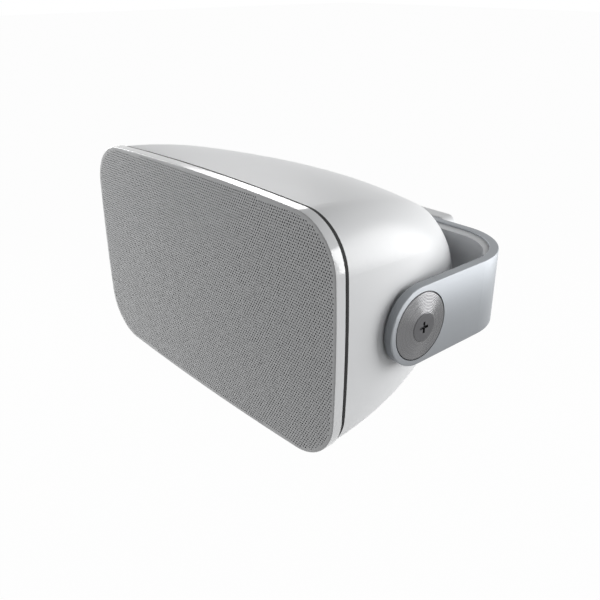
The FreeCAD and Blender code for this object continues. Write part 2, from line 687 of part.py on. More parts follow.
MAGNET_SPOTS = [(f"{side} * (front_width / 2 - magnet_end_in)", f"{level} * magnet_end_rise")
                for side in (-1, 1) for level in (-1, 1)]
MAGNET_SPOTS += [("magnet_mid_x", f"{level} * (front_height / 2 - magnet_mid_in)") for level in (-1, 1)]
MAGNET_FRONT = f"({GRILLE_BACK} + slide_fit)"
MAGNET_BACK = f"({MAGNET_FRONT} + magnet_height)"


def front_baffle():
    """One moulded plate with rebated holes for the drive units and posts for the magnets."""
    body = new_body("front_baffle")
    inset = "(cabinet_inset + shell_wall + baffle_fit)"
    pad(body, lambda sketch: front_outline(sketch, inset), CABINET_FRONT, BAFFLE_BACK)
    pad(body, lambda sketch: [circle(sketch, *spot, "magnet_radius + magnet_post_wall")
                              for spot in MAGNET_SPOTS], MAGNET_BACK, CABINET_FRONT)
    for x, radius, opening in (("woofer_x", "woofer_radius", "woofer_opening + 2 * round_fit"),
                               ("tweeter_x", "tweeter_radius", "tweeter_magnet + panel_fit")):
        pocket(body, lambda sketch: circle(sketch, x, "0", f"{radius} + panel_fit"),
               CABINET_FRONT, FLANGE_BACK)
        pocket(body, lambda sketch: circle(sketch, x, "0", opening), FLANGE_BACK, BAFFLE_BACK)
    pocket(body, lambda sketch: [circle(sketch, *spot, "screw_shank + round_fit")
                                 for spot in SCREW_SPOTS], CABINET_FRONT, BAFFLE_BACK)
    for x, ring, count, turn in (("woofer_x", "woofer_screw_ring", 6, 0),
                                 ("tweeter_x", "tweeter_screw_ring", 3, 90)):
        spots = [(f"{x} + {across}", up) for across, up in ring_spots(ring, count, turn)]
        pocket(body, lambda sketch: [circle(sketch, *spot, "screw_shank + round_fit") for spot in spots],
               FLANGE_BACK, BAFFLE_BACK)
    return piece(body)


def front_gasket():
    body = new_body("front_gasket")
    outside = "(grille_sheet + slide_fit)"
    pad(body, lambda sketch: front_outline(sketch, outside),
        f"{CABINET_FRONT} - gasket_rise", CABINET_FRONT)
    pocket(body, lambda sketch: front_outline(sketch, f"({outside} + gasket_width)"),
           f"{CABINET_FRONT} - gasket_rise", CABINET_FRONT)
    return piece(body)


def grille():
    """One sheet folded into a shallow pan; its thousands of fine holes are left to its finish."""
    body = new_body("grille")
    pad(body, lambda sketch: front_outline(sketch, "0"), "0", "grille_skirt")
    doc.recompute()
    round_edges(body, "grille_edge", lambda edge: lies_at_depth(edge, 0))
    pocket(body, lambda sketch: front_outline(sketch, "grille_sheet"), "grille_sheet", "grille_skirt")
    return piece(body)


def grille_scrim():
    body = new_body("grille_scrim")
    pad(body, lambda sketch: front_outline(sketch, "scrim_margin"), "grille_sheet", GRILLE_BACK)
    return piece(body)


def grille_magnets():
    body = new_body("grille_magnets")
    pad(body, lambda sketch: [circle(sketch, *spot, "magnet_radius") for spot in MAGNET_SPOTS],
        MAGNET_FRONT, MAGNET_BACK)
    return piece(body)


# Woofer: each profile is (radius, depth), outwards from the axis

CONE_EDGE = "(woofer_opening - 2 * surround_roll - surround_skin)"
CONE_NECK = f"({FLANGE_FRONT} + cone_depth)"
LEDGE = f"({FLANGE_BACK} + basket_seat)"
REAR_PLATE = f"({FLANGE_BACK} + basket_depth)"
PLATE_FRONT = f"({REAR_PLATE} + basket_wall)"
PLATE_BACK = f"({PLATE_FRONT} + top_plate)"
MAGNET_REAR = f"({PLATE_BACK} + magnet_thick)"
FORMER_OUT = "(coil_radius + former_wall)"
WINDING_OUT = f"({FORMER_OUT} + winding_wall)"
WINDING_FRONT = f"({PLATE_FRONT} + top_plate / 2 - winding_length / 2)"
WINDING_BACK = f"({WINDING_FRONT} + winding_length)"
NECK_RADIUS = f"({FORMER_OUT} + round_fit)"


def half_roll(inner, outer, level, skin, land, crest):
    """A rubber half roll with a flat glued rim each side, its crest to the front (-1) or back (1)."""
    middle = f"(({inner} + {outer}) / 2)"
    big = f"(({outer} - {inner}) / 2)"
    small = f"({big} - {skin})"
    top = f"({level} + {crest} * {skin})"
    turn_out, turn_back = f"{-crest} * {big}", f"{crest} * {small}"
    return [(f"{inner} - {land}", level), (f"{inner} - {land}", top),
            (inner, top, turn_out), (middle, f"{top} + {crest} * {big}", turn_out), (outer, top),
            (f"{outer} + {land}", top), (f"{outer} + {land}", level),
            (f"{middle} + {small}", level), (f"{middle} + {small}", top, turn_back),
            (middle, f"{top} + {crest} * {small}", turn_back), (f"{middle} - {small}", top),
            (f"{middle} - {small}", level)]


def dome(radius, rim, rise, skin):
    """A thin dome with its crest to the front and its rim at a depth."""
    inner, low = f"({radius} - {skin})", f"({rise} - {skin})"
    return [("0", f"{rim} - {rise}", f"({radius} ^ 2 + {rise} ^ 2) / (2 * {rise})"), (radius, rim),
            (inner, rim, f"0 - ({inner} ^ 2 + {low} ^ 2) / (2 * {low})"), ("0", f"{rim} - {low}")]


def ring(inner, outer, front, back):
    return [(inner, front), (outer, front), (outer, back), (inner, back)]


def woofer_basket():
    ledge_in = "(basket_ledge - 2 * basket_wall)"
    plate_hole = f"({WINDING_OUT} + 2 * coil_gap)"
    body = turned("woofer_basket",
                  ("woofer_opening - basket_wall", FLANGE_FRONT), ("woofer_radius", FLANGE_FRONT),
                  ("woofer_radius", FLANGE_BACK), ("woofer_opening", FLANGE_BACK),
                  ("basket_ledge", f"{LEDGE} + basket_wall"), (ledge_in, f"{LEDGE} + basket_wall"),
                  (ledge_in, PLATE_FRONT), (plate_hole, PLATE_FRONT), (plate_hole, REAR_PLATE),
                  (f"{ledge_in} - basket_wall", REAR_PLATE), (f"{ledge_in} - basket_wall", LEDGE),
                  ("basket_ledge - basket_wall", LEDGE), x="woofer_x")
    window_middle = "(woofer_opening + basket_ledge) / 2"
    window = pocket(body, lambda sketch: rectangle(sketch, window_middle, "0",
                                                   "woofer_opening - basket_ledge - 2 * basket_wall",
                                                   "window_width"), FLANGE_BACK, LEDGE)
    ring_of(body, window, "6")
    pocket(body, lambda sketch: [circle(sketch, *spot, "screw_shank + round_fit")
                                 for spot in ring_spots("woofer_screw_ring", 6, 0)],
           FLANGE_FRONT, FLANGE_BACK)
    return piece(body)


def woofer():
    woofer_basket()
    piece(turned("woofer_surround", *half_roll(CONE_EDGE, "woofer_opening", FLANGE_FRONT,
                                               "surround_skin", "glue_land", -1), x="woofer_x"))
    flat = f"({CONE_EDGE} - glue_land)"
    piece(turned("woofer_cone", (CONE_EDGE, FLANGE_FRONT), (CONE_EDGE, f"{FLANGE_FRONT} + cone_skin"),
                 (flat, f"{FLANGE_FRONT} + cone_skin"), (NECK_RADIUS, f"{CONE_NECK} + cone_skin"),
                 (NECK_RADIUS, CONE_NECK), (flat, FLANGE_FRONT), x="woofer_x"))
    cap_rim = (f"({CONE_NECK} - (dust_cap_radius - {NECK_RADIUS}) * cone_depth"
               f" / ({flat} - {NECK_RADIUS}))")
    piece(turned("woofer_dust_cap", *dome("dust_cap_radius", cap_rim, "dust_cap_rise", "cone_skin"),
                 x="woofer_x"))
    piece(turned("woofer_coil_former", *ring("coil_radius", FORMER_OUT, f"{CONE_NECK} - cone_skin",
                                             WINDING_BACK), x="woofer_x"))
    piece(turned("woofer_voice_coil", *ring(FORMER_OUT, WINDING_OUT, WINDING_FRONT, WINDING_BACK),
                 x="woofer_x"))
    piece(spider())
    piece(turned("woofer_top_plate", *ring(f"({WINDING_OUT} + coil_gap)", "top_plate_radius",
                                           PLATE_FRONT, PLATE_BACK), x="woofer_x"))
    piece(turned("woofer_magnet", *ring("magnet_bore", "magnet_ring", PLATE_BACK, MAGNET_REAR),
                 x="woofer_x"))
    pole = "(coil_radius - coil_gap)"
    piece(turned("woofer_yoke", ("pole_vent", PLATE_FRONT), (pole, PLATE_FRONT), (pole, MAGNET_REAR),
                 ("top_plate_radius", MAGNET_REAR), ("top_plate_radius", f"{MAGNET_REAR} + yoke_plate"),
                 ("pole_vent", f"{MAGNET_REAR} + yoke_plate"), x="woofer_x"))
    screws("woofer_screws", ring_spots("woofer_screw_ring", 6, 0), FLANGE_FRONT, x="woofer_x")


def spider():
    """The pleated cloth disc that centres the coil, glued to the basket's ledge."""
    inner = f"({FORMER_OUT} + round_fit)"
    outer = "(basket_ledge - 3 * basket_wall)"
    rim = "(basket_ledge - basket_wall - round_fit)"
    pleats = 12
    front, back = [], []
    for fold in range(pleats + 1):
        radius = f"{inner} + ({outer} - {inner}) * {fold} / {pleats}"
        level = f"{LEDGE} - spider_pleat * {fold % 2}"
        front.append((radius, f"{level} - spider_skin"))
        back.append((radius, level))
    front.append((rim, f"{LEDGE} - spider_skin"))
    back.append((rim, LEDGE))
    return turned("woofer_spider", *front, *reversed(back), x="woofer_x")


# Tweeter

TWEETER_BACK = f"({FLANGE_BACK} + tweeter_plate)"
DOME_BACK = f"({TWEETER_BACK} + dome_skin)"
DOME_EDGE = "(dome_radius + 2 * dome_roll + dome_skin)"
TWEETER_MAGNET = f"({DOME_BACK} + tweeter_top_plate)"
TWEETER_YOKE = f"({TWEETER_MAGNET} + tweeter_magnet_thick)"
DOME_COIL = "(dome_radius - dome_land + 0.3)"
DOME_COIL_OUT = f"({DOME_COIL} + former_wall)"


def tweeter():
    body = turned("tweeter_faceplate",
                  ("tweeter_radius", f"{FLANGE_BACK} - tweeter_plate"), ("tweeter_radius", FLANGE_BACK),
                  ("tweeter_mouth + dome_skin", FLANGE_BACK), ("tweeter_mouth + dome_skin", DOME_BACK),
                  (f"{DOME_EDGE} + dome_land + round_fit", DOME_BACK),
                  (f"{DOME_EDGE} + dome_land + round_fit", TWEETER_BACK),
                  ("tweeter_throat", TWEETER_BACK), ("tweeter_throat", f"{TWEETER_BACK} - dome_land"),
                  ("tweeter_mouth", f"{FLANGE_BACK} - tweeter_plate"), x="tweeter_x")
    pocket(body, lambda sketch: [circle(sketch, *spot, "screw_shank + round_fit")
                                 for spot in ring_spots("tweeter_screw_ring", 3, 90)],
           f"{FLANGE_BACK} - tweeter_plate", FLANGE_BACK)
    piece(body)
    piece(turned("tweeter_dome", *dome("dome_radius", TWEETER_BACK, "dome_rise", "dome_skin"),
                 x="tweeter_x"))
    piece(turned("tweeter_surround", *half_roll("dome_radius", DOME_EDGE, DOME_BACK, "dome_skin",
                                                "dome_land", -1), x="tweeter_x"))
    piece(turned("tweeter_voice_coil", *ring(DOME_COIL, DOME_COIL_OUT, DOME_BACK,
                                             f"{DOME_BACK} + tweeter_coil_length"), x="tweeter_x"))
    piece(turned("tweeter_top_plate", *ring(f"({DOME_COIL_OUT} + coil_gap)", "tweeter_magnet",
                                            DOME_BACK, TWEETER_MAGNET), x="tweeter_x"))
    piece(turned("tweeter_magnet", *ring("tweeter_magnet_bore", "tweeter_magnet", TWEETER_MAGNET,
                                         TWEETER_YOKE), x="tweeter_x"))
    pole, pole_top = f"({DOME_COIL} - coil_gap)", f"({DOME_BACK} + 1)"
    piece(turned("tweeter_yoke", ("0", pole_top), (pole, pole_top), (pole, TWEETER_YOKE),
                 ("tweeter_magnet", TWEETER_YOKE), ("tweeter_magnet", f"{TWEETER_YOKE} + tweeter_yoke"),
                 ("0", f"{TWEETER_YOKE} + tweeter_yoke"), x="tweeter_x"))
    screws("tweeter_screws", ring_spots("tweeter_screw_ring", 3, 90), f"({FLANGE_BACK} - tweeter_plate)",
           x="tweeter_x")


# Passive radiator

FRAME_REAR = "(rear_seat + radiator_frame)"
DISC_EDGE = "(radiator_opening - 2 * radiator_roll - surround_skin)"


def radiator():
    frame = ring("radiator_opening", "radiator_radius", "rear_seat", FRAME_REAR)
    body = turned("radiator_frame", *frame, x="radiator_x")
    pocket(body, lambda sketch: [circle(sketch, *spot, "screw_shank + round_fit")
                                 for spot in RADIATOR_SCREWS], "rear_seat", FRAME_REAR)
    piece(body)
    piece(turned("radiator_diaphragm", *ring("0", DISC_EDGE, f"{FRAME_REAR} - radiator_skin",
                                             FRAME_REAR), x="radiator_x"))
    piece(turned("radiator_surround", *half_roll(DISC_EDGE, "radiator_opening", FRAME_REAR,
                                                 "surround_skin", "radiator_land", 1), x="radiator_x"))
    front = f"({FRAME_REAR} - radiator_skin - radiator_weight_height)"
    piece(turned("radiator_weight", *ring("0", "radiator_weight", front,
                                          f"{FRAME_REAR} - radiator_skin"), x="radiator_x"))
    screws("radiator_screws", RADIATOR_SCREWS, FRAME_REAR, "rear_screw_length", "radiator_x", 1)


# Terminals

POST_SPOTS = [("0 - post_spread", "0"), ("post_spread", "0")]


def terminal_cup():
    body = new_body("terminal_cup", "cup_x")
    deep_width, deep_height = "(cup_width - 2 * cup_border)", "(cup_height - 2 * cup_border)"
    flange_rear = "(rear_seat + cup_flange)"
    pad(body, lambda sketch: rounded_rectangle(sketch, "cup_width", "cup_height", "cup_corner"),
        "rear_seat", flange_rear)
    pad(body, lambda sketch: rounded_rectangle(sketch, deep_width, deep_height, "cup_corner"),
        f"{CUP_FLOOR} - cup_wall", "rear_seat")
    pocket(body, lambda sketch: rounded_rectangle(sketch, f"({deep_width} - 2 * cup_wall)",
                                                  f"({deep_height} - 2 * cup_wall)",
                                                  "(cup_corner - cup_wall)"), CUP_FLOOR, flange_rear)
    pocket(body, lambda sketch: [circle(sketch, *spot, "post_radius + round_fit")
                                 for spot in POST_SPOTS], f"{CUP_FLOOR} - cup_wall", CUP_FLOOR)
    pocket(body, lambda sketch: [circle(sketch, *spot, "screw_shank + round_fit")
                                 for spot in CUP_SCREWS], "rear_seat", flange_rear)
    piece(body)
    screws("terminal_screws", CUP_SCREWS, flange_rear, "rear_screw_length", "cup_x", 1)


def terminals():
    terminal_cup()
    collar_rear = f"({CUP_FLOOR} + post_collar_height)"
    inside = f"({CUP_FLOOR} - cup_wall)"
    nut_front = f"({collar_rear} + nut_lift)"
    for colour, side in (("red", -1), ("black", 1)):
        x = f"cup_x + {side} * post_spread"
        piece(turned(f"terminal_post_{colour}",
                     ("0", f"{inside} - post_tail"), ("post_radius", f"{inside} - post_tail"),
                     ("post_radius", CUP_FLOOR), ("post_collar", CUP_FLOOR),
                     ("post_collar", collar_rear), ("post_radius", collar_rear),
                     ("post_radius", f"{CUP_FLOOR} + post_stand"),
                     ("0", f"{CUP_FLOOR} + post_stand"), x=x))
        nut = turned(f"terminal_nut_{colour}", *ring("post_radius + post_thread_fit", "nut_radius",
                                                     nut_front, f"{nut_front} + nut_height"), x=x)
        flute = pocket(nut, lambda sketch: circle(sketch, "nut_radius", "0", "flute_radius"),
                       nut_front, f"{nut_front} + nut_height")
        ring_of(nut, flute, "12")
        piece(nut)
    nuts = new_body("terminal_lock_nuts", "cup_x")
    nuts.AllowCompound = True
    levels = (f"{inside} - lock_nut_height", inside), (f"{BOARD_FRONT} - board_nut_height", BOARD_FRONT)
    for front, back in levels:
        pad(nuts, lambda sketch: [hexagon(sketch, *spot, "lock_nut") for spot in POST_SPOTS],
            front, back)
        pocket(nuts, lambda sketch: [circle(sketch, *spot, "post_radius + round_fit")
                                     for spot in POST_SPOTS], front, back)
    piece(nuts)
    sleeves = new_body("board_spacers", "cup_x")
    sleeves.AllowCompound = True
    for draw, radius in ((pad, "spacer_radius"), (pocket, "post_radius + round_fit")):
        draw(sleeves, lambda sketch: [circle(sketch, *spot, radius) for spot in POST_SPOTS],
             BOARD_BACK, f"{inside} - lock_nut_height")
    piece(sleeves)


# Crossover, whose parts stand on the front of its board

def crossover():
    body = new_body("crossover_board", "cup_x")
    pad(body, lambda sketch: rectangle(sketch, "0", "0", "board_width", "board_height"),
        BOARD_FRONT, BOARD_BACK)
    pocket(body, lambda sketch: [circle(sketch, *spot, "post_radius + round_fit")
                                 for spot in POST_SPOTS], BOARD_FRONT, BOARD_BACK)
    piece(body)
    for label, size in (("woofer_inductor", "inductor"), ("tweeter_inductor", "small_inductor")):
        coil = ring("inductor_bore", f"{size}_radius", f"{BOARD_FRONT} - {size}_height", BOARD_FRONT)
        piece(turned(label, *coil, x=f"cup_x + {label}_x", z=f"{label}_z"))
    first = "cup_x - board_width / 2 + capacitor_in"
    cans = [rod(ALONG_X, start, f"{BOARD_FRONT} - capacitor_radius", "capacitor_z",
                "capacitor_radius", "capacitor_length")
            for start in (first, f"{first} + capacitor_length + capacitor_gap")]
    piece(group("crossover_capacitors", cans))
    resistor = block("cup_x + resistor_x", f"{BOARD_FRONT} - resistor_width", "tweeter_inductor_z",
                     "resistor_length", "resistor_width", "resistor_width")
    piece(group("crossover_resistor", [resistor]))


def damping_wadding():
    """A soft pad that rests against the back of the woofer."""
    pad_box = block("wadding_x - wadding_width / 2", f"{MAGNET_REAR} + yoke_plate + slide_fit",
                    "0 - wadding_height / 2", "wadding_width", "wadding_depth", "wadding_height")
    doc.recompute()
    soft = doc.addObject("Part::Fillet", "soft")
    soft.Base = pad_box
    rounding = amount_of("wadding_round")
    soft.Edges = [(number, rounding, rounding) for number in range(1, len(pad_box.Shape.Edges) + 1)]
    return piece(named(soft, "damping_wadding"))


# Pivots, the same at both ends: each profile is (distance from the middle, radius)

def turned_across(label, side, *corners):
    """A piece turned about the tilt axis, for the right end (1) or the left end (-1)."""
    body = doc.addObject("PartDesign::Body", label)
    if side < 0:
        body.Placement = Placement(Vector(), Rotation(Vector(0, 0, 1), 180))
    place(body, "0", "pivot_depth", "0")
    sketch = new_sketch(body, "XY_Plane")
    outline(sketch, *corners)
    add(body, "Revolution", sketch, ReferenceAxis=(sketch, ["H_Axis"]), Angle=360)
    return body


def cross(sketch, length, width):
    """A cross-shaped recess about the sketch's origin."""
    far, near = f"{length} / 2", f"{width} / 2"
    outline(sketch, (near, near), (near, far), (f"-{near}", far), (f"-{near}", near),
            (f"-{far}", near), (f"-{far}", f"-{near}"), (f"-{near}", f"-{near}"),
            (f"-{near}", f"-{far}"), (near, f"-{far}"), (near, f"-{near}"),
            (far, f"-{near}"), (far, near))


def pivots():
    disc_back = f"({ARM_OUTER} - disc_recess + bush_air)"
    head_back = f"({CAP_FACE} - cap_height)"
    bore = "(pivot_bolt + slide_fit)"
    socket = "(cap_radius + edge_break / 2)"
    for end, side in (("right", 1), ("left", -1)):
        piece(turned_across(f"pivot_insert_{end}", side,
                            (f"{SEAT_FACE} - insert_length", "pivot_bolt + post_thread_fit"),
                            (SEAT_FACE, "pivot_bolt + post_thread_fit"), (SEAT_FACE, "insert_radius"),
                            (f"{SEAT_FACE} - insert_length", "insert_radius")))
        piece(turned_across(f"pivot_washer_{end}", side,
                            (SEAT_FACE, bore), (f"{ARM_FACE} - bush_air", bore),
                            (f"{ARM_FACE} - bush_air", "bush_radius"), (SEAT_FACE, "bush_radius")))
        piece(turned_across(f"pivot_disc_{end}", side,
                            (disc_back, bore), (head_back, bore), (head_back, socket),
                            (f"{CAP_FACE} - edge_break", socket),
                            (f"{disc_back} + disc_rim", "disc_radius - edge_break"),
                            (f"{disc_back} + disc_rim - edge_break", "disc_radius"),
                            (disc_back, "disc_radius")))
        bolt = turned_across(f"pivot_bolt_{end}", side,
                             (f"{SEAT_FACE} - pivot_bolt_reach", "0"), (CAP_FACE, "0"),
                             (CAP_FACE, "cap_radius - edge_break"),
                             (f"{CAP_FACE} - edge_break", "cap_radius"),
                             (head_back, "cap_radius"), (head_back, "pivot_bolt"),
                             (f"{SEAT_FACE} - pivot_bolt_reach", "pivot_bolt"))
        face = new_sketch(bolt, "YZ_Plane", CAP_FACE)
        cross(face, "cross_length", "cross_width")
        recess = add(bolt, "Pocket", face)
        bind(recess, "Length", "cross_depth")
        piece(bolt)


# Bracket and wall plate

WALL_HOLES = [(f"{side} * wall_hole_x / 2", f"{level} * wall_hole_z / 2")
              for side in (-1, 1) for level in (-1, 1)]
BOLT_SPOTS = [(f"{side} * bolt_spread / 2", "0") for side in (-1, 1)]


def bracket_strap():
    """One metal strap bent into a U, with a round eye at the end of each arm."""
    body = new_body("bracket_strap")
    plan = new_sketch(body, "XY_Plane", "0 - strap_width / 2")
    half = "(strap_width / 2)"
    tip = f"(pivot_depth - {half})"
    bend_x, bend_y = f"({ARM_OUTER} - strap_bend)", f"({STRAP_BACK} - strap_bend)"
    inner_bend = "(strap_bend - strap_thick)"
    outline(plan,
            (ARM_OUTER, tip), (ARM_OUTER, bend_y, "strap_bend"), (bend_x, STRAP_BACK),
            (f"-{bend_x}", STRAP_BACK, "strap_bend"), (f"-{ARM_OUTER}", bend_y),
            (f"-{ARM_OUTER}", tip), (f"-{ARM_FACE}", tip),
            (f"-{ARM_FACE}", bend_y, f"0 - {inner_bend}"), (f"-{bend_x}", STRAP_INNER),
            (bend_x, STRAP_INNER, f"0 - {inner_bend}"), (ARM_FACE, bend_y), (ARM_FACE, tip))
    strap = add(body, "Pad", plan)
    bind(strap, "Length", "strap_width")
    eye = new_sketch(body, "YZ_Plane")
    beyond, above = f"({tip} - 5)", f"({half} + 5)"
    outline(eye, ("pivot_depth", half, half), (tip, "0", half), ("pivot_depth", f"-{half}"),
            ("pivot_depth", f"-{above}"), (beyond, f"-{above}"), (beyond, above), ("pivot_depth", above))
    add(body, "Pocket", eye, Type=1, Midplane=True)
    doc.recompute()
    half_width = amount_of(half)
    round_edges(body, "strap_edge", lambda edge: is_strap_edge(edge, half_width))
    hole = new_sketch(body, "YZ_Plane")
    circle(hole, "pivot_depth", "0", "pivot_bolt + slide_fit")
    add(body, "Pocket", hole, Type=1, Midplane=True)
    for side in (1, -1):
        seat = new_sketch(body, "YZ_Plane", f"{side} * {ARM_OUTER}")
        circle(seat, "pivot_depth", "0", "disc_radius + disc_gap")
        recess = add(body, "Pocket", seat, Reversed=side < 0)
        bind(recess, "Length", "disc_recess")
    pocket(body, lambda sketch: [circle(sketch, *spot, "access_radius") for spot in WALL_HOLES],
           STRAP_INNER, STRAP_BACK)
    pocket(body, lambda sketch: [circle(sketch, *spot, "bolt_radius + round_fit")
                                 for spot in BOLT_SPOTS], STRAP_INNER, STRAP_BACK)
    return piece(body)


def is_strap_edge(edge, half_width):
    """The long edges along the strap's top and bottom, and those round its eyes."""
    box = edge.BoundBox
    level = abs(abs(box.ZMin) - half_width) < 1e-3 and box.ZLength < 1e-3
    before_pivot = box.YMax < amount_of("pivot_depth") + 1
    round_end = box.XLength < 1e-3 and box.ZLength > half_width / 2 and before_pivot
    return level or round_end


def bracket_lining():
    """The thicker moulding inside the bracket's bends, which hides the bolts from the sides."""
    body = new_body("bracket_lining")
    plan = new_sketch(body, "XY_Plane", "cover_step - strap_width / 2")
    bend_x, bend_y = f"({ARM_OUTER} - strap_bend)", f"({STRAP_BACK} - strap_bend)"
    outer_bend = "(strap_bend - strap_thick - round_fit)"
    lining_back = f"({STRAP_INNER} - round_fit)"
    inner_x, inner_y = f"({ARM_FACE} - cover_bend)", f"({COVER_FRONT} - cover_bend)"
    outer_tip = (f"({bend_x} + {outer_bend} * cos(cover_start * 1 deg))",
                 f"({bend_y} + {outer_bend} * sin(cover_start * 1 deg))")
    inner_tip = (f"({inner_x} + cover_bend * cos((cover_start + cover_taper) * 1 deg))",
                 f"({inner_y} + cover_bend * sin((cover_start + cover_taper) * 1 deg))")
    outline(plan,
            (*outer_tip, outer_bend), (bend_x, lining_back), (f"-{bend_x}", lining_back, outer_bend),
            (f"-{outer_tip[0]}", outer_tip[1]), (f"-{inner_tip[0]}", inner_tip[1], "0 - cover_bend"),
            (f"-{inner_x}", COVER_FRONT), (inner_x, COVER_FRONT, "0 - cover_bend"), inner_tip)
    block_pad = add(body, "Pad", plan)
    bind(block_pad, "Length", "strap_width - 2 * cover_step")
    pocket(body, lambda sketch: [circle(sketch, *spot, "access_radius") for spot in WALL_HOLES],
           COVER_FRONT, lining_back)
    pocket(body, lambda sketch: [circle(sketch, *spot, "bolt_head + panel_fit") for spot in BOLT_SPOTS],
           COVER_FRONT, lining_back)
    return piece(body)


def wall_plate():
    body = new_body("wall_plate")
    pad(body, lambda sketch: rounded_rectangle(sketch, "plate_width", "plate_height", "plate_corner"),
        STRAP_BACK, OVERALL_DEPTH)
    doc.recompute()
    front = amount_of(STRAP_BACK)
    round_edges(body, "plate_edge", lambda edge: lies_at_depth(edge, front))
    pocket(body, lambda sketch: [circle(sketch, *spot, "wall_hole_radius") for spot in WALL_HOLES],
           STRAP_BACK, OVERALL_DEPTH)
    pocket(body, lambda sketch: [circle(sketch, *spot, "bolt_radius + round_fit")
                                 for spot in BOLT_SPOTS], STRAP_BACK, f"{STRAP_BACK} + bolt_reach")
    return piece(body)


# Inner leads

def lead(label, *route):
    """A round lead along straight runs joined by arcs as large as the runs allow."""
    spots = [Vector(*(amount_of(text) for text in spot)) for spot in route]
    edges, start = [], spots[0]
    for before, corner, after in zip(spots, spots[1:], spots[2:]):
        arrive, leave = (corner - before), (after - corner)
        turn = arrive.getAngle(leave)
        shorter = min(arrive.Length, leave.Length)
        tangent = 0.45 * shorter
        radius = tangent / math.tan(turn / 2)
        arrive.normalize()
        leave.normalize()
        first, last = corner - arrive * tangent, corner + leave * tangent
        inward = (leave - arrive).normalize()
        crown = corner + inward * (radius / math.cos(turn / 2) - radius)
        edges += [Part.LineSegment(start, first).toShape(), Part.Arc(first, crown, last).toShape()]
        start = last
        print(f"{label}: arc radius {radius:.1f}")
    edges.append(Part.LineSegment(start, spots[-1]).toShape())
    path = Part.Wire(edges)
    radius = amount_of("lead_radius")
    profile = Part.Wire(Part.Circle(spots[0], spots[1] - spots[0], radius).toShape())
    thing = doc.addObject("Part::Feature", label)
    thing.Shape = path.makePipeShell([profile], True, True)
    straight = math.pi * radius ** 2 * path.Length
    print(f"{label}: volume {thing.Shape.Volume:.1f}, section by length {straight:.1f}")
    return piece(named(thing, label))


def leads():
    board_x, board_z = "(cup_x - board_width / 2 + lead_in)", "(lead_low - board_height / 2)"
    ledge_middle = "(basket_ledge - lead_ledge_in)"
    ledge_x = f"(woofer_x + {ledge_middle} * cos(30 deg))"
    ledge_z = f"(0 - {ledge_middle} * sin(30 deg))"
    ledge_back = f"({LEDGE} + basket_wall)"
    lead("woofer_lead", (board_x, BOARD_FRONT, board_z),
         (board_x, f"{BOARD_FRONT} - 4 * lead_run", board_z),
         (ledge_x, f"{ledge_back} + 3 * lead_run", ledge_z), (ledge_x, ledge_back, ledge_z))
    board_x, board_z = "(cup_x + board_width / 2 - lead_in)", "(board_height / 2 - lead_in)"
    yoke_x, yoke_back = "(tweeter_x + lead_tag)", f"({TWEETER_YOKE} + tweeter_yoke)"
    lead("tweeter_lead", (board_x, BOARD_FRONT, board_z),
         (board_x, f"{BOARD_FRONT} - 5 * lead_run", board_z),
         (yoke_x, f"{yoke_back} + 3.5 * lead_run", "lead_tag"), (yoke_x, yoke_back, "lead_tag"))


cabinet_shell()
front_baffle()
front_gasket()
screws("baffle_screws", SCREW_SPOTS, CABINET_FRONT)
grille()
grille_scrim()
grille_magnets()
woofer()
tweeter()
radiator()
terminals()
crossover()
damping_wadding()
leads()
pivots()
bracket_strap()
bracket_lining()
screws("bracket_bolts", BOLT_SPOTS, STRAP_INNER, "(strap_thick + bolt_reach)", "0", -1, "bolt")
wall_plate()

doc.recompute()
failed = [thing.Name for thing in doc.Objects if {"Invalid", "Error"} & set(thing.State)]
failed += [thing.Label for thing in PIECES if thing.Shape.isNull() or not thing.Shape.isValid()]
if failed:
    raise RuntimeError("these did not build: " + ", ".join(failed))
os.makedirs("parts", exist_ok=True)
for thing in PIECES:
    thing.Shape.exportStep(f"parts/{thing.Label}.step")
print(f"{len(PIECES)} pieces written")
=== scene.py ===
import math

import bmesh
import bpy
from mathutils import Matrix, Vector, noise


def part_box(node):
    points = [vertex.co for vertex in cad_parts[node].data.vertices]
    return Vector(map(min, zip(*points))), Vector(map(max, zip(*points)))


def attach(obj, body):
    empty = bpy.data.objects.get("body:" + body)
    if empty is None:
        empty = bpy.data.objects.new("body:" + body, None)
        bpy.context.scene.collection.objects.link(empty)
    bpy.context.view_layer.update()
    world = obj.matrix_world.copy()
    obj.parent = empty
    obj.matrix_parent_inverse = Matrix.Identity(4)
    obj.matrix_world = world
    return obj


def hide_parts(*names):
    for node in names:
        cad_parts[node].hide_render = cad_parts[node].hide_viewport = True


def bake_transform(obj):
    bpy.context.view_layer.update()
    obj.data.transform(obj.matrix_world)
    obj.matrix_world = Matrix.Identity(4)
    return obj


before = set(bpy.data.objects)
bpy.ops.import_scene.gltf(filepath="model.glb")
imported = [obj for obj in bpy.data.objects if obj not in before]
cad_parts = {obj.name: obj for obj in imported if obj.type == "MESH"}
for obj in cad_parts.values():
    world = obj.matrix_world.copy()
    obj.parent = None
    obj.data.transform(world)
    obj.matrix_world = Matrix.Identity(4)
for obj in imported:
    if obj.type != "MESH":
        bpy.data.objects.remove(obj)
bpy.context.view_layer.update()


# Camera
# The speaker is seen from in front, from its right and from above, with a short telephoto lens.
# It looks down on the cabinet's top and along the right-hand bracket arm.

lens = bpy.data.cameras.new("camera")
lens.lens, lens.sensor_width, lens.clip_start = 42.61, 36.0, 0.01
camera = bpy.data.objects.new("camera", lens)
camera.location = (0.39621, -0.44756, 0.20335)
camera.rotation_euler = [math.radians(turn) for turn in (65.219, 0.109, 48.65)]
bpy.context.scene.collection.objects.link(camera)
bpy.context.scene.camera = camera


# Studio
# A pale paper floor well below the speaker, which hangs from its wall plate as in a shop picture.
# A wide softbox behind on the right gives the long soft highlight on the cabinet's end, one in
# front on the left grazes the grille, and three weak ones fill in from right, left and above.

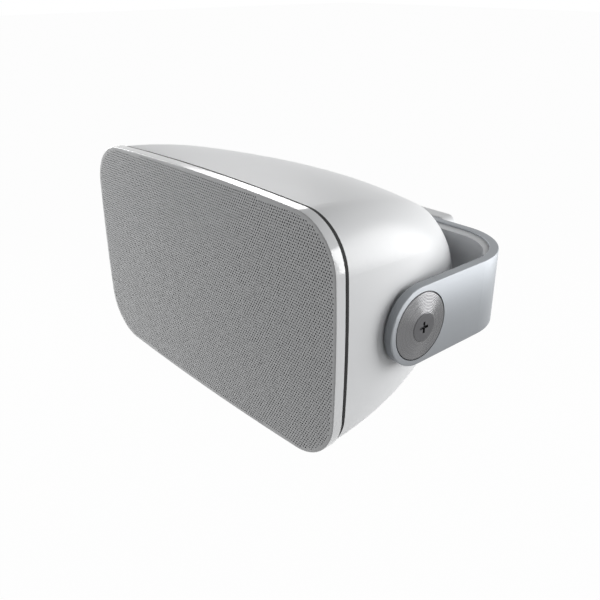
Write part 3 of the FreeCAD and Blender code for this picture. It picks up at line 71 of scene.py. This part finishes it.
class Layer:
    """Wraps a node's socket. Sums on layers add Math nodes, and make() adds any other node."""

    def __init__(self, tree, socket):
        self.tree, self.socket = tree, socket

    def make(self, kind, settings=None, sockets=None, out=0):
        node = self.tree.nodes.new("ShaderNode" + kind)
        for name, choice in (settings or {}).items():
            setattr(node, name, choice)
        for name, given in (sockets or {}).items():
            if isinstance(given, Layer):
                self.tree.links.new(given.socket, node.inputs[name])
            else:
                node.inputs[name].default_value = given
        return Layer(self.tree, node.outputs[out])

    def sum_of(self, operation, first, second):
        return self.make("Math", {"operation": operation}, {0: first, 1: second})

    def __add__(self, other):
        return self.sum_of("ADD", self, other)

    def __sub__(self, other):
        return self.sum_of("SUBTRACT", self, other)

    def __rsub__(self, other):
        return self.sum_of("SUBTRACT", other, self)

    def __mul__(self, other):
        return self.sum_of("MULTIPLY", self, other)

    __radd__, __rmul__ = __add__, __mul__


def sees_background(tree):
    """1 for the rays that see the paper as it is: straight, mirrored or through glass."""
    rays = tree.nodes.new("ShaderNodeLightPath").outputs
    straight, mirrored, through = (Layer(tree, rays[f"Is {kind} Ray"])
                                   for kind in ("Camera", "Glossy", "Transmission"))
    return straight.sum_of("MAXIMUM", straight.sum_of("MAXIMUM", straight, mirrored), through)


# Nearly all that is seen of the paper is plain white, and the rest of it takes the shadow.
plain_white = 0.98
floor_height = -0.42
floor_reach = 12.0
paper = bpy.data.materials.new("studio_paper")
paper.use_nodes = True
paper.node_tree.nodes.clear()
seen = sees_background(paper.node_tree)
matt = seen.make("BsdfDiffuse", {}, {"Color": (0.45, 0.45, 0.45, 1)})
white = seen.make("Emission", {}, {"Color": (1, 1, 1, 1), "Strength": 1.0})
mixed = seen.make("MixShader", {}, {0: seen * plain_white, 1: matt, 2: white})
paper_surface = paper.node_tree.nodes.new("ShaderNodeOutputMaterial").inputs["Surface"]
paper.node_tree.links.new(mixed.socket, paper_surface)
floor_sheet = bmesh.new()
bmesh.ops.create_grid(floor_sheet, size=floor_reach,
                      matrix=Matrix.Translation((0, 0, floor_height)))
floor_mesh = bpy.data.meshes.new("studio_floor")
floor_sheet.to_mesh(floor_mesh)
floor_sheet.free()
floor_mesh.materials.append(paper)
floor = bpy.data.objects.new("studio_floor", floor_mesh)
bpy.context.scene.collection.objects.link(floor)

room_light = 0.08
room = bpy.data.worlds.new("studio_room")
room.use_nodes = True
bpy.context.scene.world = room
air = room.node_tree.nodes["Background"].inputs
air["Color"].default_value = (1, 1, 1, 1)
brightness = room_light + sees_background(room.node_tree) * (1 - room_light)
room.node_tree.links.new(brightness.socket, air["Strength"])


def softbox(label, place, aim, width, height, watts):
    """A plain rectangular softbox that the camera doesn't see."""
    lamp = bpy.data.lights.new(label, "AREA")
    lamp.shape, lamp.size, lamp.size_y, lamp.energy = "RECTANGLE", width, height, watts
    holder = bpy.data.objects.new(label, lamp)
    holder.location = place
    holder.rotation_euler = (Vector(place) - Vector(aim)).to_track_quat("Z", "Y").to_euler()
    holder.visible_camera = False
    bpy.context.scene.collection.objects.link(holder)


softbox("softbox_behind_right", (0.78, 0.97, 0.25), (0.10, -0.15, 0.03), 1.12, 0.95, 19.5)
softbox("softbox_right", (1.29, 0.10, 0.30), (0.10, -0.14, 0.03), 0.6, 0.6, 1.6)
softbox("strip_behind_left", (-0.90, 0.58, 0.60), (0.0, -0.19, 0.08), 0.45, 0.34, 1.5)
softbox("softbox_front_left", (-1.16, -0.49, 0.25), (0.0, -0.14, 0.03), 0.8, 0.56, 10.8)
softbox("softbox_above", (0.70, -0.14, 1.15), (0.06, -0.14, 0.03), 0.8, 0.8, 0.5)


# Cabinet shell
# One weatherproof moulding in satin white plastic with a fine even grain, open in front, with
# round tilt seats in its ends and two recesses in its back. A narrow near-black band is painted
# round its front edge: painted shade that shows as a dark line round the grille.

def new_finish(label, **constants):
    """An empty finish, with its shader and the coordinates of the piece that wears it."""
    made = bpy.data.materials.new(label)
    made.use_nodes = True
    shader = made.node_tree.nodes["Principled BSDF"]
    for name, number in constants.items():
        shader.inputs[name.replace("_", " ")].default_value = number
    place = made.node_tree.nodes.new("ShaderNodeTexCoord").outputs["Object"]
    return made, shader, Layer(made.node_tree, place)


def feed(shader, **layers):
    """Leads layers into the shader's sockets."""
    for name, layer in layers.items():
        layer.tree.links.new(layer.socket, shader.inputs[name.replace("_", " ")])


def mottle(place, scale, detail=2.0):
    """Soft uneven spots from 0 to 1, scale of them to the metre."""
    return place.make("TexNoise", {}, {"Vector": place, "Scale": scale, "Detail": detail})


def shaded(colour, share):
    """A colour made darker, or lighter where the share is over 1."""
    return [min(tone * share, 1) for tone in colour]


def between(amount, low, high):
    """The colour low where the amount is 0, and high where it is 1. Either may be a layer."""
    low, high = (colour if isinstance(colour, Layer) else (*colour, 1) for colour in (low, high))
    # A Mix node's colours are its inputs 6 and 7 and its output 2.
    return amount.make("Mix", {"data_type": "RGBA"}, {0: amount, 6: low, 7: high}, 2)


def relief(height, depth):
    """A surface raised by the height, from 0 to 1, times the depth in metres."""
    return height.make("Bump", {}, {"Height": height, "Strength": 1.0, "Distance": depth})


def give(finish, *nodes):
    """Puts a finish on pieces that keep their CAD shape."""
    for node in nodes:
        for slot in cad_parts[node].material_slots:
            slot.material = finish


cabinet_white = (0.80, 0.81, 0.82)
cabinet_rough = 0.32
# The first 2.1 mm of the cabinet's front edge is painted near-black as painted shade for the seam
# behind the grille. The band is also rougher, and the bump sinks it a little.
seam_shade_black = (0.006, 0.006, 0.0065)
seam_shade_rough = 0.75
seam_shade_width = 0.0021
seam_shade_blend = 0.0002
seam_shade_sunk = 0.00018
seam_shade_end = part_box("cabinet_shell")[0].y + seam_shade_width
cabinet_finish, shader, place = new_finish("cabinet_satin_white", Specular_IOR_Level=0.4)
cloud = mottle(place, 22.0, 3.0)
grain = mottle(place, 1700.0)
back = place.make("SeparateXYZ", {}, {"Vector": place}, "Y")
# Mask: 0 on the painted shade band at the front edge, 1 on the white moulding behind it.
moulding = back.make("MapRange", {"interpolation_type": "SMOOTHSTEP"},
                     {"Value": back, "From Min": seam_shade_end, "From Max": seam_shade_end + seam_shade_blend})
white = between(cloud, shaded(cabinet_white, 0.975), shaded(cabinet_white, 1.02))
feed(shader, Base_Color=between(moulding, seam_shade_black, white),
     Roughness=seam_shade_rough - moulding * (seam_shade_rough - cabinet_rough) + grain * 0.07,
     Normal=relief(grain * 0.04 + moulding, seam_shade_sunk))
give(cabinet_finish, "cabinet_shell")


# Front baffle and its fixings
# A flat black moulded board that carries both drive units, screwed to bosses in the cabinet, with
# a rubber frame round it and nickel-plated magnets in posts that hold the grille on.

def moulded(label, colour, rough, grain, depth):
    """Moulded plastic or rubber, faintly cloudy, with so many grains to the metre, so deep."""
    made, shader, place = new_finish(label)
    cloud = mottle(place, 22.0, 3.0)
    fine = mottle(place, grain)
    feed(shader, Base_Color=between(cloud, shaded(colour, 0.965), shaded(colour, 1.03)),
         Roughness=rough - 0.04 + fine * 0.08, Normal=relief(fine, depth))
    return made


def plated(label, colour, rough):
    """Plated metal with faint cloudy passivation and fine handling marks."""
    made, shader, place = new_finish(label, Metallic=1.0)
    cloud = mottle(place, 420.0, 4.0)
    marks = mottle(place, 2600.0)
    feed(shader, Base_Color=between(cloud, shaded(colour, 0.86), colour),
         Roughness=rough + cloud * 0.12, Normal=relief(marks, 0.000006))
    return made


black = (0.030, 0.030, 0.033)
give(moulded("baffle_black", black, 0.52, grain=1100.0, depth=0.00003), "front_baffle")
give(moulded("gasket_rubber", (0.022, 0.022, 0.023), 0.72, grain=700.0, depth=0.00005),
     "front_gasket")
nickel_plate = plated("nickel_plate", (0.66, 0.63, 0.58), 0.16)
zinc_plate = plated("zinc_plate", (0.58, 0.60, 0.62), 0.28)
give(nickel_plate, "grille_magnets")
give(zinc_plate, "baffle_screws")


# Grille
# One sheet of steel, punched with some ten thousand round holes in staggered rows, folded back
# all round into a shallow pan with a plain border, and powder coated satin white.

def powder_coat(label, colour, rough, **constants):
    """Powder coat on metal: glossy enough to mirror a lamp, with a fine orange peel."""
    made, shader, place = new_finish(label, **constants)
    peel = mottle(place, 900.0)
    cloud = mottle(place, 30.0)
    feed(shader, Base_Color=between(cloud, shaded(colour, 0.97), colour),
         Roughness=rough - 0.02 + peel * 0.04, Normal=relief(peel, 0.0000015))
    return made


grille_coat = powder_coat("grille_powder_coat", (0.78, 0.79, 0.80), 0.14,
                          Coat_Weight=0.7, Coat_Roughness=0.08)
grille_low, grille_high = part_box("grille")
sheet_metal = 0.001
plain_border = 0.00185
hole_radius = 0.00063
hole_sides = 8
hole_pitch = 0.00217
cell_sides = 6
cell_radius = hole_pitch / math.sqrt(3)
row_step = hole_pitch * math.sqrt(3) / 2
# Corners this near to each other are one: first those of cells, then those of a CAD node.
cell_weld = 1e-5
cad_weld = 1e-6
# A hole right on a seam between two pieces of the field belongs to the eastern one.
off_seam = 1e-7
# The outline's long and short sides bow outwards by so much between its round corners.
outline_corner = 0.0358
long_bow, short_bow = 0.00226, 0.00109


def reach_at(height, inset):
    """Half the width of the front outline at a height, with the outline drawn in by an inset."""
    width, rise = grille_high.x - inset, grille_high.z - inset
    corner = outline_corner - inset
    across, up = width - corner - short_bow, rise - corner - long_bow
    long_arc = (across ** 2 + long_bow ** 2) / (2 * long_bow) + corner
    short_arc = (up ** 2 + short_bow ** 2) / (2 * short_bow) + corner
    if abs(height) >= rise:
        return -1.0
    under_edge = math.sqrt(long_arc ** 2 - (abs(height) + long_arc - rise) ** 2)
    if under_edge <= across:
        return under_edge
    side = width - short_arc + math.sqrt(short_arc ** 2 - height ** 2)
    if abs(height) <= up:
        return side
    return min(side, across + math.sqrt(max(corner ** 2 - (abs(height) - up) ** 2, 0)))


def finished(label, shape, finish, smooth_up_to=0.0):
    """Makes a worked shape into a piece with a finish, smooth where it bends less than so many
    degrees."""
    mesh = bpy.data.meshes.new(label)
    shape.to_mesh(mesh)
    shape.free()
    mesh.materials.append(finish)
    if smooth_up_to:
        mesh.set_sharp_from_angle(angle=math.radians(smooth_up_to))
    piece = bpy.data.objects.new(label, mesh)
    bpy.context.scene.collection.objects.link(piece)
    return piece


def punched_rows(west, east):
    """Flat staggered rows of six-sided cells, each with its hole, between two places along X.
    The cells' own corners are marked, to tell them from the corners of the holes."""
    sheet = bmesh.new()
    row_mesh = bpy.data.meshes.new("one_row")
    rows = math.ceil(grille_high.z / row_step)
    for row in range(-rows, rows + 1):
        reach = reach_at(row * row_step, plain_border + hole_radius)
        shift = hole_pitch / 2 * (row % 2)
        first = math.ceil((max(west, -reach) - shift) / hole_pitch)
        last = math.floor((min(east - off_seam, reach) - shift) / hole_pitch)
        if last < first:
            continue
        line = bmesh.new()
        mark = line.verts.layers.int.new("cell_corner")
        spot = Matrix.Translation((shift + first * hole_pitch, grille_low.y, row * row_step))
        stand = spot @ Matrix.Rotation(math.radians(90), 4, "X")
        cell = bmesh.ops.create_circle(line, segments=cell_sides, radius=cell_radius,
                                       matrix=stand)["verts"]
        for corner in cell:
            corner[mark] = 1
        bmesh.ops.create_circle(line, segments=hole_sides, radius=hole_radius, matrix=stand)
        bmesh.ops.triangle_fill(line, use_beauty=True, edges=line.edges[:], normal=(0, -1, 0))
        if last > first:
            # Spun by no angle, the cell is only repeated along its row.
            bmesh.ops.spin(line, geom=line.verts[:] + line.edges[:] + line.faces[:],
                           cent=(0, 0, 0), axis=(0, 0, 1), dvec=(hole_pitch, 0, 0), angle=0,
                           steps=last - first, use_duplicate=True)
        line.to_mesh(row_mesh)
        line.free()
        sheet.from_mesh(row_mesh)
    bmesh.ops.remove_doubles(sheet, verts=sheet.verts, dist=cell_weld)
    return sheet


def push_through(shape, pushed):
    """Moves what an extrusion made to the back of the sheet metal, and gives its corners."""
    moved = [item for item in pushed if isinstance(item, bmesh.types.BMVert)]
    bmesh.ops.translate(shape, vec=(0, sheet_metal, 0), verts=moved)
    return moved


# The field of holes is three pieces, which meet 21 holes to each side of the middle.
seam = 21 * hole_pitch
whole_field = bmesh.new()
for label, west, east in (("left", -1, -seam), ("middle", -seam, seam), ("right", seam, 1)):
    rows = punched_rows(west, east)
    flat = bpy.data.meshes.new("flat_rows")
    rows.to_mesh(flat)
    whole_field.from_mesh(flat)
    pushed = bmesh.ops.extrude_face_region(rows, geom=rows.faces[:], use_keep_orig=True)["geom"]
    push_through(rows, pushed)
    bmesh.ops.recalc_face_normals(rows, faces=rows.faces)
    field = finished(f"grille_field_{label}", rows, grille_coat)
    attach(field, "grille")
    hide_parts("grille")

# The whole field's stepped outer edge, without its cells, is what the plain border meets.
bmesh.ops.remove_doubles(whole_field, verts=whole_field.verts, dist=cell_weld)
mark = whole_field.verts.layers.int["cell_corner"]
stepped_edge = {edge for edge in whole_field.edges
                if edge.is_boundary and all(corner[mark] for corner in edge.verts)}
bmesh.ops.delete(whole_field, geom=whole_field.faces[:], context="FACES_ONLY")
inner_edges = [edge for edge in whole_field.edges if edge not in stepped_edge]
bmesh.ops.delete(whole_field, geom=inner_edges, context="EDGES")
loose_corners = [corner for corner in whole_field.verts if not corner.link_edges]
bmesh.ops.delete(whole_field, geom=loose_corners, context="VERTS")
step_line = bpy.data.meshes.new("step_line")
whole_field.to_mesh(step_line)
whole_field.free()


def lies_at(item, level):
    """Whether an edge or a face lies flat at a level along Y."""
    return all(abs(corner.co.y - level) < cell_weld for corner in item.verts)


# The folded rim is the CAD sheet without its two flat sides, which are filled anew from its
# edges up to the steps.
rim = bmesh.new()
rim.from_mesh(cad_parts["grille"].data)
bmesh.ops.remove_doubles(rim, verts=rim.verts, dist=cad_weld)
sides = (grille_low.y, grille_low.y + sheet_metal)
flat_faces = [face for face in rim.faces if any(lies_at(face, level) for level in sides)]
bmesh.ops.delete(rim, geom=flat_faces, context="FACES")
for face in rim.faces:
    face.smooth = True
front_loop, back_loop = ([edge for edge in rim.edges if edge.is_boundary and lies_at(edge, level)]
                         for level in sides)
rim.from_mesh(step_line)
mark = rim.verts.layers.int["cell_corner"]
front_steps = [edge for edge in rim.edges if all(corner[mark] for corner in edge.verts)]
pushed = bmesh.ops.extrude_edge_only(rim, edges=front_steps)["geom"]
moved = push_through(rim, pushed)
back_steps = [item for item in pushed if isinstance(item, bmesh.types.BMEdge)
              and all(corner in moved for corner in item.verts)]
bmesh.ops.triangle_fill(rim, use_beauty=True, edges=front_loop + front_steps, normal=(0, -1, 0))
bmesh.ops.triangle_fill(rim, use_beauty=True, edges=back_loop + back_steps, normal=(0, 1, 0))
bmesh.ops.recalc_face_normals(rim, faces=rim.faces)
grille_rim = finished("grille_rim", rim, grille_coat, 40.0)
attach(grille_rim, "grille")
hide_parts("grille")


# Cloth behind the grille
# A fine black acoustic cloth glued to the back of the perforated sheet, stretched flat, which
# keeps insects out and makes the holes read dark.

# At scale 1, the bands of a Wave node lie this many metres apart.
wave_pitch = math.pi / 10


def woven(label, colour, thread, fuzz):
    """Plain weave, with threads so wide in metres along X and Z."""
    made, shader, place = new_finish(label, Sheen_Weight=fuzz, Sheen_Roughness=0.4)
    warp, weft = (place.make("TexWave", {"bands_direction": direction},
                             {"Vector": place, "Scale": wave_pitch / (2 * thread)})
                  for direction in ("X", "Z"))
    weave = warp * 0.5 + weft * 0.5
    feed(shader, Base_Color=between(weave, shaded(colour, 0.5), colour),
         Roughness=0.8 + mottle(place, 300.0) * 0.15, Normal=relief(weave, 0.0001))
    return made


scrim = bmesh.new()
scrim.from_mesh(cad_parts["grille_scrim"].data)
bmesh.ops.remove_doubles(scrim, verts=scrim.verts, dist=cad_weld)
acoustic_cloth = woven("acoustic_cloth", (0.045, 0.045, 0.05), thread=0.0004, fuzz=0.3)
scrim_cloth = finished("grille_cloth", scrim, acoustic_cloth, 30.0)
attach(scrim_cloth, "grille")
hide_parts("grille_scrim")


# Woofer
# A five-inch unit: pressed steel basket coated black, dark polypropylene cone and dust cap, rubber
# surround, pleated resin-dipped spider, copper coil on foil, and a ferrite motor between plates.

about_y = (1, 0, 1)


def distance_from(place, centre, flat):
    """Distance from an axis through the centre, with flat as 0 along the axis and 1 across it."""
    shift = [-middle * keep for middle, keep in zip(centre, flat)]
    centred = place.make("Mapping", {}, {"Vector": place, "Location": shift, "Scale": flat})
    return place.make("VectorMath", {"operation": "LENGTH"}, {0: centred}, "Value")


def ringed(label, colour, rough, centre, ring, depth, metal=0.0, flat=about_y):
    """Fine rings about an axis, ring metres apart, as a lathe or a mould leaves them."""
    made, shader, place = new_finish(label, Metallic=metal)
    radius = distance_from(place, centre, flat)
    grooves = place.make("TexNoise", {"noise_dimensions": "1D"},
                         {"W": radius * (1 / ring), "Scale": 1.0, "Detail": 3.0})
    cloud = mottle(place, 160.0)
    feed(shader, Base_Color=between(grooves * 0.6 + cloud * 0.4, shaded(colour, 0.85), colour),
         Roughness=rough + cloud * 0.08, Normal=relief(grooves, depth))
    return made


def wound(label, colour, wire):
    """Round wire, so thick in metres, wound side by side along Y."""
    made, shader, place = new_finish(label, Metallic=0.9, Coat_Weight=0.6, Coat_Roughness=0.15)
    turns = place.make("TexWave", {"bands_direction": "Y"},
                       {"Vector": place, "Scale": wave_pitch / wire})
    cloud = mottle(place, 350.0)
    feed(shader, Base_Color=between(turns * 0.7 + cloud * 0.3, shaded(colour, 0.45), colour),
         Roughness=0.28 + cloud * 0.15, Normal=relief(turns, wire * 0.25))
    return made


def flexing_ring(node, finish, centre, shares):
    """Cuts a soft ring into narrow shares about the centre, each closed where it is cut."""
    half = math.pi / shares
    for share in range(shares):
        middle = 2 * half * share
        part = bmesh.new()
        part.from_mesh(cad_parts[node].data)
        bmesh.ops.remove_doubles(part, verts=part.verts, dist=cad_weld)
        for side in (-1, 1):
            edge = middle + side * half
            outwards = (-side * math.sin(edge), 0, side * math.cos(edge))
            bmesh.ops.bisect_plane(part, geom=part.verts[:] + part.edges[:] + part.faces[:],
                                   dist=1e-7, plane_co=centre, plane_no=outwards,
                                   clear_outer=True)
        cut = [edge for edge in part.edges if edge.is_boundary]
        bmesh.ops.edgeloop_fill(part, edges=cut)
        bmesh.ops.recalc_face_normals(part, faces=part.faces)
        for face in part.faces:
            face.smooth = True
        piece = finished(f"{node}_{share + 1:02d}", part, finish, 35.0)
        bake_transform(piece)
        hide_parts(node)


woofer_low, woofer_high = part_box("woofer_basket")
woofer_axis = ((woofer_low.x + woofer_high.x) / 2, woofer_low.y, 0)
give(powder_coat("basket_black_coat", (0.035, 0.035, 0.038), 0.36), "woofer_basket")
cone_colour = (0.055, 0.056, 0.062)
give(ringed("cone_polypropylene", cone_colour, 0.42, woofer_axis, ring=0.0007, depth=0.00008),
     "woofer_cone")
give(moulded("dust_cap_polypropylene", (0.050, 0.050, 0.055), 0.34, grain=900.0, depth=0.00002),
     "woofer_dust_cap")
surround_rubber = moulded("surround_rubber", (0.020, 0.020, 0.021), 0.55, grain=500.0,
                          depth=0.00003)
flexing_ring("woofer_surround", surround_rubber, woofer_axis,
             shares=24)
spider_cloth = woven("resin_dipped_cloth", (0.46, 0.27, 0.08), thread=0.0005, fuzz=0.1)
flexing_ring("woofer_spider", spider_cloth, woofer_axis,
             shares=12)
give(plated("foil_former", (0.74, 0.74, 0.74), 0.22), "woofer_coil_former")
copper = (0.74, 0.34, 0.16)
coil_wire = wound("coil_wire", copper, wire=0.0003)
give(coil_wire, "woofer_voice_coil")
motor_zinc = (0.56, 0.57, 0.59)
give(ringed("motor_plate_zinc", motor_zinc, 0.30, woofer_axis, ring=0.0005, depth=0.00003,
            metal=1.0),
     "woofer_top_plate", "woofer_yoke")
ferrite = moulded("ground_ferrite", (0.055, 0.055, 0.058), 0.62, grain=1400.0, depth=0.00005)
give(ferrite, "woofer_magnet")
black_screw = plated("blackened_screw", (0.10, 0.10, 0.105), 0.34)
give(black_screw, "woofer_screws")


# Tweeter
# A one-inch anodised metal dome on a coated cloth roll, in a black moulded faceplate whose shallow
# horn guides the sound, with its own small ferrite motor behind.

tweeter_low, tweeter_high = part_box("tweeter_faceplate")
tweeter_axis = ((tweeter_low.x + tweeter_high.x) / 2, tweeter_high.y, 0)
give(moulded("faceplate_black", black, 0.40, grain=1600.0, depth=0.00001), "tweeter_faceplate")
give(ringed("dome_anodised", (0.62, 0.63, 0.66), 0.24, tweeter_axis, ring=0.0004, depth=0.00001,
            metal=1.0),
     "tweeter_dome")
roll_cloth = woven("coated_roll_cloth", (0.05, 0.05, 0.052), thread=0.0003, fuzz=0.1)
flexing_ring("tweeter_surround", roll_cloth, tweeter_axis,
             shares=12)
give(coil_wire, "tweeter_voice_coil")
give(ringed("tweeter_plate_zinc", motor_zinc, 0.30, tweeter_axis, ring=0.0005, depth=0.00003,
            metal=1.0),
     "tweeter_top_plate", "tweeter_yoke")
give(ferrite, "tweeter_magnet")
give(black_screw, "tweeter_screws")


# Passive radiator
# A flat weighted diaphragm in a black ring, let into the cabinet's back, which swings with the
# woofer's air on a rubber half roll and has no motor of its own.

radiator_low, radiator_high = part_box("radiator_frame")
radiator_axis = ((radiator_low.x + radiator_high.x) / 2, radiator_high.y, 0)
give(moulded("radiator_ring_black", black, 0.46, grain=1300.0, depth=0.00002), "radiator_frame")
give(ringed("diaphragm_polypropylene", cone_colour, 0.40, radiator_axis, ring=0.0008,
            depth=0.00006),
     "radiator_diaphragm")
flexing_ring("radiator_surround", surround_rubber, radiator_axis,
             shares=24)
give(zinc_plate, "radiator_weight")
give(black_screw, "radiator_screws")


# Terminals
# Two nickel-plated binding posts with fluted thumb nuts, red and black, in a recessed moulded cup
# that is screwed to the back, with lock nuts behind its floor.

def glossy(label, colour):
    """Clear-coloured gloss plastic, with faint flow lines from the mould."""
    made, shader, place = new_finish(label, Coat_Weight=0.5, Coat_Roughness=0.08)
    flow = place.make("TexNoise", {},
                      {"Vector": place, "Scale": 260.0, "Detail": 2.0, "Distortion": 1.5})
    feed(shader, Base_Color=between(flow, shaded(colour, 0.82), colour),
         Roughness=0.16 + flow * 0.12, Normal=relief(flow, 0.00001))
    return made


give(moulded("terminal_cup_black", black, 0.48, grain=1000.0, depth=0.00003), "terminal_cup")
give(nickel_plate, "terminal_post_red", "terminal_post_black", "terminal_lock_nuts")
give(glossy("nut_red", (0.52, 0.022, 0.018)), "terminal_nut_red")
give(glossy("nut_black", (0.022, 0.022, 0.023)), "terminal_nut_black")
give(black_screw, "terminal_screws")


# Crossover
# A green laminate board held by the binding posts, with two air-cored copper coils, two wrapped
# film capacitors and a white cement resistor, and a twin lead to each drive unit.

board_finish, shader, place = new_finish("board_laminate")
upright = place.make("Mapping", {}, {"Vector": place, "Rotation": (math.radians(90), 0, 0)})
paths = place.make("TexBrick", {"offset": 0.35, "squash": 0.7},
                   {"Vector": upright, "Color1": (0, 0, 0, 1), "Color2": (0, 0, 0, 1),
                    "Mortar": (1, 1, 1, 1), "Scale": 90.0, "Mortar Size": 0.012,
                    "Mortar Smooth": 0.1}, "Fac")
feed(shader, Base_Color=between(paths, (0.010, 0.085, 0.030), (0.045, 0.20, 0.07)),
     Roughness=0.3 + mottle(place, 200.0) * 0.15, Normal=relief(paths, 0.00003))
give(board_finish, "crossover_board")
give(wound("inductor_wire", copper, wire=0.0009), "woofer_inductor", "tweeter_inductor")
give(glossy("capacitor_wrap", (0.030, 0.030, 0.034)), "crossover_capacitors")
give(moulded("cement_resistor", (0.74, 0.73, 0.69), 0.75, grain=900.0, depth=0.00006),
     "crossover_resistor")
give(moulded("nylon", (0.72, 0.71, 0.66), 0.38, grain=600.0, depth=0.00002),
     "board_spacers", "pivot_washer_right", "pivot_washer_left")
give(moulded("lead_insulation", (0.085, 0.012, 0.012), 0.46, grain=700.0, depth=0.00003),
     "woofer_lead", "tweeter_lead")


# Damping wadding
# A soft pad of loose polyester fibre that fills the space behind the woofer and soaks up the
# sound inside the cabinet. It is only tucked in, and bulges a little between its edges.

smoothing_rounds = 14
tufts_to_the_metre = 45.0
tuft_depth = 0.0022
wad_low, wad_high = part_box("damping_wadding")
wad_middle, wad_size = (wad_low + wad_high) / 2, wad_high - wad_low
wad = bmesh.new()
bmesh.ops.create_cube(wad, size=1.0)
bmesh.ops.subdivide_edges(wad, edges=wad.edges[:], cuts=15, use_grid_fill=True)
bmesh.ops.scale(wad, vec=wad_size, verts=wad.verts)
for _ in range(smoothing_rounds):
    bmesh.ops.smooth_vert(wad, verts=wad.verts, factor=0.6, use_axis_x=True, use_axis_y=True,
                          use_axis_z=True)
for tuft in wad.verts:
    loose = noise.fractal(tuft.co * tufts_to_the_metre, 1.0, 2.0, 3)
    tuft.co -= tuft.normal * tuft_depth * (1 + loose)
bmesh.ops.translate(wad, vec=wad_middle, verts=wad.verts)
for face in wad.faces:
    face.smooth = True
fibre, shader, place = new_finish("polyester_fibre", Sheen_Weight=0.6, Sheen_Roughness=0.5)
tufts = place.make("TexNoise", {},
                   {"Vector": place, "Scale": 240.0, "Detail": 6.0, "Distortion": 2.0})
feed(shader, Base_Color=between(tufts, (0.62, 0.62, 0.60), (0.88, 0.88, 0.87)),
     Roughness=0.85 + tufts * 0.1, Normal=relief(tufts, 0.0012))
wadding = finished("damping_pad", wad, fibre)
soften = wadding.modifiers.new("soften", "SUBSURF")
soften.levels = soften.render_levels = 1
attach(wadding, "cabinet")
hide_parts("damping_wadding")


# Pivots
# At each end a turned aluminium disc is let into the arm, and a flat-headed bolt with a cross
# recess goes through it and a nylon washer into a brass nut that is moulded into the cabinet.

about_x = (0, 1, 1)
pivot_low, pivot_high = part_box("pivot_disc_right")
tilt_axis = (0, (pivot_low.y + pivot_high.y) / 2, 0)
turning_pitch = 0.0009
streaks_to_the_metre = 1400.0
disc_finish, shader, place = new_finish("turned_disc", Metallic=1.0)
radius = distance_from(place, tilt_axis, about_x)
grooves = place.make("Math", {"operation": "SINE"}, {0: radius * (2 * math.pi / turning_pitch)})
streaks = place.make("TexNoise", {"noise_dimensions": "1D"},
                     {"W": radius * streaks_to_the_metre, "Scale": 1.0})
feed(shader, Base_Color=between(streaks, (0.135, 0.135, 0.139), (0.195, 0.195, 0.200)),
     Roughness=0.24 + streaks * 0.06, Normal=relief(grooves, 0.00005))
give(disc_finish, "pivot_disc_right", "pivot_disc_left")
give(ringed("turned_bolt_head", (0.115, 0.115, 0.12), 0.32, tilt_axis, ring=0.0006, depth=0.00006,
            metal=1.0, flat=about_x),
     "pivot_bolt_right", "pivot_bolt_left")
give(ringed("turned_brass", (0.70, 0.50, 0.20), 0.28, tilt_axis, ring=0.0006, depth=0.00004,
            metal=1.0, flat=about_x),
     "pivot_insert_right", "pivot_insert_left")


# Bracket strap
# One flat aluminium strap bent into a U with a round eye at the end of each arm, painted satin
# silver, and bolted to the wall plate by two hexagon-socket bolts.

silver_low, silver_high = (0.256, 0.269, 0.285), (0.311, 0.327, 0.346)
# The bump crowns its flat face a little, from 1 in the middle to 0 some 29 mm above and below.
crown_fall = 1200.0
crown_depth = 0.004
strap_finish, shader, place = new_finish("silver_paint", Metallic=0.75)
flakes = mottle(place, 5200.0, 1.0)
cloud = mottle(place, 26.0)
height = place.make("SeparateXYZ", {}, {"Vector": place}, "Z")
crown = 1 - height * height * crown_fall
feed(shader, Base_Color=between(flakes * 0.5 + cloud * 0.5, silver_low, silver_high),
     Roughness=0.46 + flakes * 0.08, Normal=relief(crown + flakes * 0.002, crown_depth))
give(strap_finish, "bracket_strap")
give(zinc_plate, "bracket_bolts")


# Bracket lining
# A thick moulding in satin light grey plastic that fills the inside of the bracket's bends and
# stops a little short of the strap's edges. Holes through it clear the heads of the two bolts.

give(moulded("lining_grey", (0.68, 0.69, 0.71), 0.42, grain=1400.0, depth=0.000012),
     "bracket_lining")


# Wall plate
# A milled aluminium block, painted white like the cabinet, that four screws hold on the wall.
# Screwdriver holes through the lining and the strap lead to those screws.

give(powder_coat("wall_plate_white", cabinet_white, 0.42), "wall_plate")


bpy.context.scene.view_settings.view_transform = "Standard"
